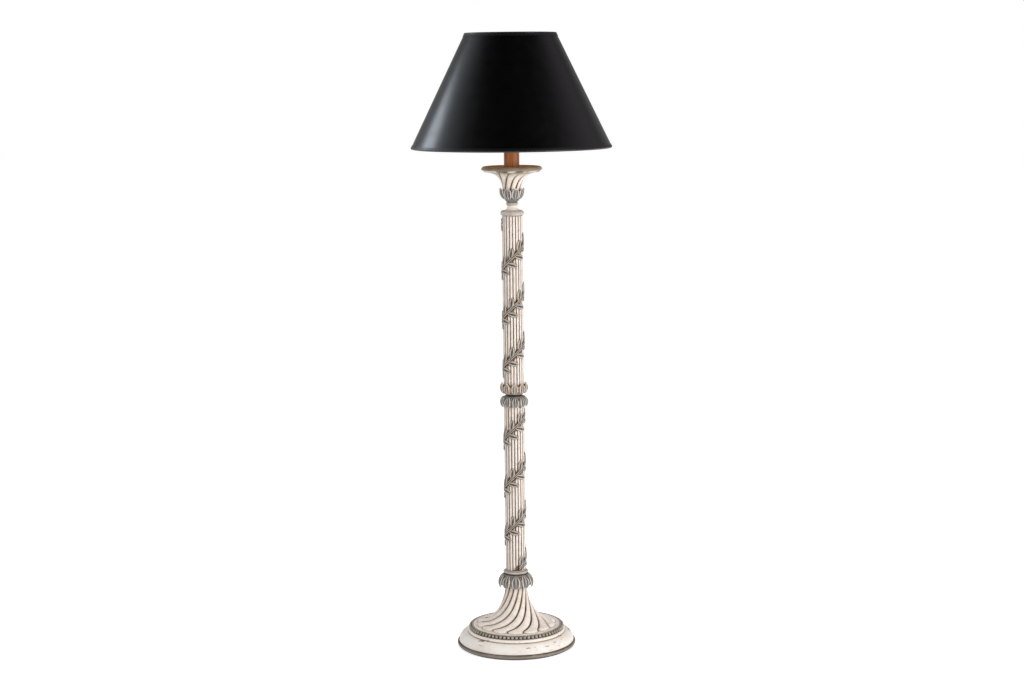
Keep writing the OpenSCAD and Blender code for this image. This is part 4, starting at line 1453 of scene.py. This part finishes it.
@dataclass(frozen=True)
class Vine:
    """Leafy vine wound up a column: a stem of three strands with leaves in pairs."""

    node: str
    column_r: float
    way: Helix
    head: float
    strands: tuple[Strand, ...] = (
        Strand(0.0, 0.0062, 0.0016, 1.0), Strand(0.0025, 0.0015, 0.0030, 0.0),
        Strand(-0.0025, 0.0015, 0.0030, 0.0))
    wire_r: float = 0.0016
    wire_sides: int = 10
    turn_steps: int = 36
    leaves: int = 16
    first: float = 0.4
    up: float = 82.0
    down: float = -15.0
    last: float = 35.0
    last_turn: float = -4.0
    last_drop: float = 0.001

    def level(self, turns: float) -> float:
        """Height of the stem after some turns."""
        way = self.way
        return (way.foot + way.pitch * turns
                + way.sway * math.cos(math.radians(way.start + 360 * turns)))

    def wind(self, strand: Strand) -> bpy.types.Object:
        """Screws one strand of the stem up the column.

        Args:
            strand: Its sizes.

        Returns:
            The strand, closed at both ends.
        """
        way = self.way
        set_down()
        bpy.ops.mesh.primitive_circle_add(vertices=self.wire_sides, radius=self.wire_r,
                                          location=(0, 0, 0), rotation=(math.radians(90), 0, 0))
        stem = bpy.context.object
        set_place(stem)
        edit(stem)
        bpy.ops.transform.resize(value=(1, 1, strand.width / self.wire_r))
        set_down()
        stem.location = (self.column_r + strand.proud - self.wire_r, 0, 0)
        set_place(stem)
        steps = round(self.turn_steps * way.turns)
        finish_with(stem, "SCREW", axis="Z", angle=math.tau * way.turns,
                    screw_offset=way.pitch * way.turns, steps=steps, render_steps=steps,
                    use_smooth_shade=True)
        for turns in (0.0, way.turns):
            close_rim(stem, lambda p: (abs(p.z - way.pitch * turns) < 1.2 * strand.width
                                       and self.at_turn(p, turns)))
        stem.rotation_euler.z = math.radians(way.start)
        stem.location.z = way.foot + strand.lift - way.sway
        set_place(stem)
        weigh(stem, "sway", lambda p: 0.5 + 0.5 * p.x / math.hypot(p.x, p.y))
        finish_with(stem, "DISPLACE", vertex_group="sway", direction="Z",
                    strength=2 * way.sway, mid_level=0.0)
        # The wide base strand, low between the raised ones, gets slate painted shade and gilding;
        # the raised strands painted highlight.
        record_tone(stem, "relief", lambda p: 1 - strand.back)
        record_tone(stem, "back", lambda p: strand.back)
        return stem

    def at_turn(self, point: Vector, turns: float, slack: float = 0.0002) -> bool:
        """Tells whether a point lies in the upright plane that the stem meets after some turns."""
        turn = math.tau * turns
        side = Vector((-math.sin(turn), math.cos(turn), 0))
        return abs(point.dot(side)) < slack and point.xy.dot((math.cos(turn), math.sin(turn))) > 0

    def leaf(self, lean: float, shape: Leaf) -> bpy.types.Object:
        """Leans a leaf and wraps it on the column's front.

        Args:
            lean: Degrees from level that it points.
            shape: The leaf.

        Returns:
            The master, its root at the origin's height.
        """
        proud = 0.0002
        master = shape.model(f"{self.node}_leaf")
        master.rotation_euler.y = math.radians(90 - lean)
        set_place(master)
        bend(master, "Z", self.column_r)
        master.location.y = proud - self.column_r
        set_place(master)
        return master

    def build(self) -> bpy.types.Object:
        """Models the vine in place of its node.

        Returns:
            The piece.
        """
        way = self.way
        shape = Leaf(length=0.0305, width=0.0142, thickness=0.0030, hollow=0.0014, camber=0.0012,
                     arch=0.0020, curl=0.0003,
                     widths=((0.0, 0.26), (0.18, 0.66), (0.5, 1.0), (0.8, 0.76), (1.0, 0.12)),
                     columns=8, rows=10, trough=0.0)
        spots: dict[float, list[Matrix]] = {self.up: [], self.down: [], self.last: []}
        for i in range(math.floor(way.turns * self.leaves)):
            turns = (i + self.first) / self.leaves
            level = self.level(turns)
            lean = self.up if i % 2 == 0 else self.down
            if lean == self.down or level + shape.length < self.head:
                spots[lean].append(turn_about_z(way.start + 90 + 360 * turns, level))
        spots[self.last].append(turn_about_z(way.start + 90 + self.last_turn + 360 * way.turns,
                                             self.level(way.turns) - self.last_drop))
        parts = [self.wind(strand) for strand in self.strands]
        for lean, places in spots.items():
            parts += copies(self.leaf(lean, shape), places)
        return weld(f"{self.node}_carving", parts, CARVED_ANGLE)


# ---------------------------------------------------------------- the lamp


def stand_in(piece: bpy.types.Object, node: str, finish: bpy.types.Material,
             body: str = "stand") -> None:
    """Dresses a piece and lets it stand for a frame node.

    Args:
        piece: The piece.
        node: The node that it stands for.
        finish: Its material.
        body: The body that it rides on.
    """
    piece.data.materials.clear()
    piece.data.materials.append(finish)
    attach(piece, body)
    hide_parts(node)
    log.info("%s: %d faces for %s", piece.name, len(piece.data.polygons), node)


class Workshop:
    """Keeps one material for each finish."""

    def __init__(self) -> None:
        """Starts with an empty shelf."""
        self.shelf: dict[str, bpy.types.Material] = {}

    def __call__(self, finish: Finish) -> bpy.types.Material:
        """The material of a finish, made once."""
        if finish.name not in self.shelf:
            self.shelf[finish.name] = finish.build()
        return self.shelf[finish.name]

    def dress(self, finish: Finish, *nodes: str) -> None:
        """Gives frame nodes a finish.

        Args:
            finish: The finish.
            nodes: The nodes.
        """
        for name in nodes:
            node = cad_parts[name]
            node.data.materials.clear()
            node.data.materials.append(self(finish))
            log.info("%s: %s", name, finish.name)


@dataclass(frozen=True)
class Foot:
    """Plinth, moulding, beads and the gadrooned trumpet."""

    gadroons: int = 14
    sweep: float = 80.0
    neck_turn: float = 1.0
    tip_r: float = 0.1032
    notch: float = 0.013
    neck_r: float = 0.0285
    neck_h: float = 0.098
    neck_groove: float = 0.0022
    steps: int = 26

    def trumpet(self) -> bpy.types.Object:
        """Models the trumpet's gadroons.

        Returns:
            The piece.
        """
        base = high("bead_band").z
        top = low("lower_collar_ring").z
        tip, notch, neck = self.tip_r, self.tip_r - self.notch, self.neck_r
        ridge = ((tip - 0.008, base + 0.0065), (0.062, base + 0.013), (0.0335, base + 0.045),
                 (neck, base + self.neck_h))
        valley = ((notch - 0.0015, base + 0.0021), (0.0565, base + 0.0035), (0.0300, base + 0.038),
                  (neck - self.neck_groove, base + self.neck_h))
        foot = self.neck_turn - self.sweep - 90
        rows = [Row((tip, base), (notch, base), foot, 2.2),
                Row((tip - 0.0006, base + 0.0026), (notch - 0.0005, base + 0.0007), foot, 2.2),
                Row((tip - 0.0036, base + 0.0054), (notch - 0.001, base + 0.0014), foot, 2.2)]
        for i in range(self.steps + 1):
            t = i / self.steps
            rows.append(Row(cubic(ridge, t), cubic(valley, t), foot + self.sweep * t,
                            blend(2.2, 2.5, min(4 * t, 1.0))))
        rows.append(Row((neck - 0.0015, top), (neck - 0.0015 - self.neck_groove, top),
                        foot + self.sweep, 3.0))
        return LobedTurning(self.gadroons, 12, tuple(rows)).model("trumpet_gadroons")

    def build(self, shop: Workshop) -> None:
        """Models and dresses the foot.

        Args:
            shop: Where the materials come from.
        """
        stand_in(self.trumpet(), "base_trumpet", shop(CREAM))
        shop.dress(PLINTH, "base_plinth")
        shop.dress(CREAM_MOULDING, "base_moulding")
        shop.dress(CREAM_SEAT, "trumpet_flange")
        shop.dress(BEADS, "bead_band")
        shop.dress(FELT, "felt_pad")
        shop.dress(BOARD, "bottom_plate")
        shop.dress(IRON, "base_weight")
        shop.dress(ZINC, "base_washer", "base_nut")
        shop.dress(RUBBER, "cord_grommet")


@dataclass(frozen=True)
class Column:
    """Reeded shafts with their vines and the collars between them."""

    reed_r: float = 0.0265
    collar_leaves: int = 10
    waist_lip: float = 0.005

    def rims(self, level: float, side: int) -> tuple[Section, ...]:
        """Sections of the two rings that a middle collar hangs from.

        Args:
            level: Height where the waist starts.
            side: 1 for a collar above it, -1 for one below.

        Returns:
            The seat of the leaves and the rim at the waist.
        """
        def at(radius: float, away: float) -> tuple[float, float]:
            """Point at a distance from the waist, into the collar."""
            return radius, level + side * away

        return ((at(0.0213, 0.005), at(0.028, 0.005), at(0.028, 0.0018), at(0.0213, 0.0018)),
                (at(0.0213, 0.0049), at(0.0241, 0.0049), at(0.0245, 0.0043), at(0.0245, -0.0006),
                 at(0.0241, -0.0010), at(0.0213, -0.0010)))

    def build(self, shop: Workshop) -> None:
        """Models and dresses the column.

        Args:
            shop: Where the materials come from.
        """
        collar = high("base_trumpet").z
        waist = low("mid_waist").z + self.waist_lip
        over = high("mid_waist").z - self.waist_lip
        neck = ((0.0287, collar - 0.0055), (0.0326, collar - 0.0055), (0.033, collar - 0.0050),
                (0.033, collar - 0.0015), (0.0326, collar - 0.0010), (0.0287, collar - 0.0010))
        hanging = LeafRing("mid_leaves_lower", self.collar_leaves, centre=(0.022, waist - 0.014),
                           bowl=0.0145, start=66, end=-57, width=0.0176, turn=-84,
                           rings=self.rims(waist, -1))
        rings = (
            LeafRing("lower_leaf_collar", self.collar_leaves, centre=(0.0256, collar - 0.0216),
                     bowl=0.0204, start=68, end=-40, width=0.0236, turn=-90, rings=(neck,)),
            hanging,
            replace(hanging, node="mid_leaves_upper", centre=(0.022, over + 0.014), turn=-87,
                    rings=self.rims(over, 1), upright=True),
        )
        for ring in rings:
            finish = PALE_LEAVES if ring.upright else LEAVES
            stand_in(ring.build(), ring.node, shop(finish))
        for vine in (
            Vine("lower_vine", self.reed_r, LOWER_WAY, head=waist - 0.028),
            Vine("upper_vine", self.reed_r, UPPER_WAY, head=low("column_top_ring").z),
        ):
            stand_in(vine.build(), vine.node, shop(VINE))
        shop.dress(LOWER_REEDS, "lower_column")
        shop.dress(UPPER_REEDS, "upper_column")
        shop.dress(PALE_GREY, "lower_collar_ring", "column_top_ring")
        shop.dress(WAIST_SHADE, "mid_waist")
        shop.dress(ZINC, "lamp_pipe_lower", "pipe_coupling", "lamp_pipe_upper")


@dataclass(frozen=True)
class CandleTop:
    """Neck, leaf cup, fluted flare, drip pan and candle sleeve."""

    flutes: int = 10
    sweep: float = 68.0
    cup_leaves: int = 9
    steps: int = 26

    def flare(self) -> bpy.types.Object:
        """Models the fluted bell under the pan.

        Returns:
            The piece.
        """
        foot, pan = low("spiral_flare").z, high("spiral_flare").z
        controls = ((0.0225, foot + 0.014), (0.024, foot + 0.044), (0.031, pan - 0.0045),
                    (0.065, pan - 0.0015))
        shares = [i / self.steps for i in range(self.steps + 1)]
        crest = [(0.015, foot), *(cubic(controls, t) for t in shares), (0.069, pan)]
        places = [0.0, *((1 + 10 * t) / 12 for t in shares), 1.0]
        rows = []
        for i, (point, place) in enumerate(zip(crest, places)):
            depth = blend(0.0012, 0.0044, math.sin(math.pi * place) ** 0.8)
            before, after = crest[max(i - 1, 0)], crest[min(i + 1, len(crest) - 1)]
            along = Vector(after) - Vector(before)
            inward = Vector((-along.y, along.x)).normalized()
            if i in (0, len(crest) - 1):
                inward = Vector((-1, 0))
            groove = Vector(point) + depth * inward
            rows.append(Row(point, (groove.x, min(groove.y, pan)),
                            self.sweep * place ** 1.3 - 90, 2.3))
        return LobedTurning(self.flutes, 12, tuple(rows)).model("flare_flutes")

    def build(self, shop: Workshop) -> None:
        """Models and dresses the candle top.

        Args:
            shop: Where the materials come from.
        """
        stand_in(self.flare(), "spiral_flare", shop(CREAM_FLARE))
        cup = high("cup_ring").z
        core = ((0.0055, cup), (0.0141, cup), (0.0148, cup + 0.0004), (0.0198, cup + 0.0066),
                (0.0194, cup + 0.0070), (0.0055, cup + 0.0070))
        ring = LeafRing("leaf_cup", self.cup_leaves, centre=(0.0105, cup + 0.0245), bowl=0.021,
                        start=64, end=-27, width=0.021, turn=-72, rings=(core,), upright=True)
        stand_in(ring.build(), ring.node, shop(LEAVES))
        shop.dress(CREAM_MOULDING, "neck_spool")
        shop.dress(PALE_GREY, "cup_ring")
        shop.dress(PAN, "drip_pan")
        shop.dress(ZINC, "pan_nut")
        shop.dress(WAX, "candle_sleeve")
        shop.dress(BRASS, "sleeve_cap")


@dataclass(frozen=True)
class Fittings:
    """Harp, lamp holder and bulb."""

    def build(self, shop: Workshop) -> None:
        """Dresses the fittings.

        Args:
            shop: Where the materials come from.
        """
        shop.dress(ZINC, "harp_saddle")
        shop.dress(BRASS, "harp", "ferrule_left", "ferrule_right", "socket_cap", "socket_shell",
                   "socket_screw_shell", "socket_contact", "switch_stem", "finial")
        shop.dress(INSULATION, "socket_liner")
        shop.dress(PHENOLIC, "socket_body", "switch_knob")
        shop.dress(CAP_METAL, "bulb_base", "bulb_contact")
        shop.dress(GLASS, "bulb_glass")


@dataclass(frozen=True)
class Shade:
    """Black hard-backed shade with its rings, trims and spider."""

    seam_w: float = 0.014
    seam_t: float = 0.0005
    trim: float = 0.0070
    seam_cuts: int = 6

    def seam(self) -> bpy.types.Object:
        """Models the overlap where the card's two ends are glued, up the back of the cone.

        Returns:
            The piece.
        """
        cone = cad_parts["shade_cone"]
        points = [cone.matrix_world @ v.co for v in cone.data.vertices]
        foot, head = low("shade_cone").z, high("shade_cone").z
        edge = 0.002
        wide = max(p.xy.length for p in points if p.z < foot + edge)
        narrow = max(p.xy.length for p in points if p.z > head - edge)
        set_down()
        bpy.ops.mesh.primitive_plane_add(size=1, location=(0, 0, 0),
                                         rotation=(math.radians(90), 0, 0))
        strip = bpy.context.object
        set_place(strip)
        edit(strip)
        bpy.ops.transform.resize(value=(self.seam_w, 1, head - foot - 2 * self.trim))
        set_down()
        share = self.trim / (head - foot)
        for side, radius in ((-1, blend(wide, narrow, share)), (1, blend(narrow, wide, share))):
            edit(strip, lambda p: p.z * side > 0)
            bpy.ops.transform.translate(value=(0, radius, 0))
            set_down()
        edit(strip)
        bpy.ops.transform.translate(value=(0, 0, (foot + head) / 2))
        bpy.ops.mesh.subdivide(number_cuts=self.seam_cuts)
        set_down()
        return strip

    def build(self, shop: Workshop) -> None:
        """Dresses the shade.

        Args:
            shop: Where the materials come from.
        """
        shop.dress(SHADE_CARD, "shade_cone")
        seam = self.seam()
        finish_with(seam, "SOLIDIFY", thickness=self.seam_t, offset=0.0)
        seam = weld("shade_seam", [seam])
        seam.data.materials.append(shop(SHADE_CARD))
        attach(seam, "shade")
        shop.dress(SHADE_TRIM, "shade_bottom_trim", "shade_top_trim")
        shop.dress(LINING, "shade_liner")
        shop.dress(ZINC, "shade_bottom_ring", "shade_top_ring")
        shop.dress(BRASS, "spider")


# ---------------------------------------------------------------- studio


@dataclass(frozen=True)
class SoftBox:
    """Large soft lamp that faces the lamp's middle."""

    name: str
    place: tuple[float, float, float]
    size: float
    power: float
    colour: Colour = (1.0, 1.0, 1.0)
    aim: float = 0.8

    def build(self) -> None:
        """Hangs the lamp."""
        data = bpy.data.lights.new(self.name, "AREA")
        data.shape = "SQUARE"
        data.size = self.size
        data.energy = self.power
        data.color = self.colour
        lamp = bpy.data.objects.new(self.name, data)
        lamp.location = self.place
        towards = Vector((0, 0, self.aim)) - Vector(self.place)
        lamp.rotation_euler = towards.to_track_quat("-Z", "Y").to_euler()
        bpy.context.scene.collection.objects.link(lamp)


class StageWiring(Wiring):
    """Wiring of the floor and the surround, which answer each kind of ray in its own way."""

    def __init__(self, tree: bpy.types.NodeTree) -> None:
        """Adds the kinds of ray to the tree.

        Args:
            tree: The tree of the floor's material or of the world.
        """
        super().__init__(tree)
        rays = self.node("ShaderNodeLightPath").outputs
        self.gloss = rays["Is Glossy Ray"]
        self.seen = self.clamp("MAXIMUM", rays["Is Camera Ray"], rays["Is Transmission Ray"])
        self.shown = self.clamp("MAXIMUM", self.seen, self.gloss)

    def fade(self, value: Socket, start: float, end: float) -> Socket:
        """1 at the start of a span and before it, 0 at its end and past it."""
        return self.node("ShaderNodeMapRange", {
            "Value": value, "From Min": start, "From Max": end, "To Min": 1.0, "To Max": 0.0},
            interpolation_type="SMOOTHSTEP").outputs[0]


@dataclass(frozen=True)
class Studio:
    """Pale floor, white surround, soft lamps and the camera.

    In gloss the surround is a room: a floor, a left, a right and a back wall, and a dark ceiling.
    Each edge is a span of the direction's X, Y or Z, from where a wall shows to where it is gone.
    """

    aside: float = -0.0040
    distance: float = 4.813
    eye: float = 1.490
    pitch: float = 8.435
    roll: float = -0.6
    lens: float = 66.83
    surround: float = 0.36
    floor_glow: float = 0.72
    right_side: float = 0.44
    back_side: float = 0.30
    left_edge: tuple[float, float] = (-0.84, -0.62)
    right_edge: tuple[float, float] = (0.82, 0.62)
    back_edge: tuple[float, float] = (0.9, 0.5)
    ceiling_edge: tuple[float, float] = (0.50, 0.72)
    floor_edge: tuple[float, float] = (0.02, 0.09)
    left_tint: Colour = (0.86, 0.93, 1.0)
    right_tint: Colour = (1.0, 0.88, 1.0)
    floor_size: float = 60.0

    def world(self) -> None:
        """White to the camera, an even light on the object, and a room of walls in gloss."""
        world = bpy.data.worlds.new("surround")
        bpy.context.scene.world = world
        world.use_nodes = True
        w = StageWiring(world.node_tree)
        direction = w.node("ShaderNodeTexCoord").outputs["Generated"]
        x, y, z = w.node("ShaderNodeSeparateXYZ", {0: direction}).outputs
        left = w.fade(x, *self.left_edge)
        right = w.fade(x, *self.right_edge)
        back = w.clamp("MULTIPLY", w.fade(y, *self.back_edge), self.back_side)
        sides = w.clamp("MAXIMUM", left, w.clamp("MULTIPLY", right, self.right_side))
        walls = w.clamp("MULTIPLY", w.fade(z, *self.ceiling_edge), w.clamp("MAXIMUM", sides, back))
        room = w.clamp("MAXIMUM", walls, w.fade(z, *self.floor_edge))
        white = (1.0, 1.0, 1.0)
        tinted = w.mix(right, w.mix(left, white, self.left_tint), self.right_tint)
        sky = w.tree.nodes["Background"]
        w.feed(sky.inputs["Color"], w.mix(w.gloss, white, tinted))
        shine = w.clamp("MAXIMUM", w.clamp("MULTIPLY", w.gloss, room), w.seen)
        soft = w.clamp("MULTIPLY", w.clamp("SUBTRACT", 1.0, w.shown), self.surround)
        w.feed(sky.inputs["Strength"], w.clamp("MAXIMUM", shine, soft))

    def floor(self) -> None:
        """Pale floor that keeps the shadow."""
        set_down()
        bpy.ops.mesh.primitive_plane_add(size=self.floor_size, location=(0, 0, 0))
        floor = bpy.context.object
        floor.name = "floor"
        material = bpy.data.materials.new("floor")
        material.use_nodes = True
        w = StageWiring(material.node_tree)
        shader = w.tree.nodes["Principled BSDF"]
        for name, value in (("Base Color", (0.8, 0.8, 0.8)), ("Roughness", 0.9),
                            ("Specular IOR Level", 0.1), ("Emission Color", (1.0, 1.0, 1.0))):
            w.feed(shader.inputs[name], value)
        w.feed(shader.inputs["Emission Strength"],
               w.number("MULTIPLY", w.shown, self.floor_glow))
        floor.data.materials.append(material)

    def camera(self) -> None:
        """Camera at the photograph's place."""
        data = bpy.data.cameras.new("camera")
        data.lens = self.lens
        data.sensor_width = 36.0
        camera = bpy.data.objects.new("camera", data)
        stand = Matrix.Translation((self.aside, -self.distance, self.eye))
        tilt = Matrix.Rotation(math.radians(90 - self.pitch), 4, "X")
        roll = Matrix.Rotation(math.radians(self.roll), 4, "Z")
        camera.matrix_world = stand @ tilt @ roll
        bpy.context.scene.collection.objects.link(camera)
        bpy.context.scene.camera = camera

    def build(self) -> None:
        """Sets up the studio."""
        self.world()
        self.floor()
        self.camera()
        for box in (
            SoftBox("key_right", (2.6, -2.0, 1.2), size=1.8, power=72),
            SoftBox("fill_left", (-2.3, -2.1, 1.3), size=1.8, power=26),
            SoftBox("strip_left", (-1.38, 0.56, 1.82), size=0.5, power=5.2,
                    colour=(0.82, 0.9, 1.0), aim=1.4),
            SoftBox("overhead", (0.2, 0.9, 3.6), size=1.6, power=20),
        ):
            box.build()
        bpy.context.scene.view_settings.view_transform = "Standard"
        log.info("studio: floor, camera and soft lamps")


def main() -> None:
    """Builds the lamp and the studio."""
    logging.basicConfig(level=logging.INFO, format="%(message)s")
    shop = Workshop()
    for assembly in (Foot(), Column(), CandleTop(), Fittings(), Shade()):
        assembly.build(shop)
    Studio().build()
    set_down()


if __name__ == "__main__":
    main()
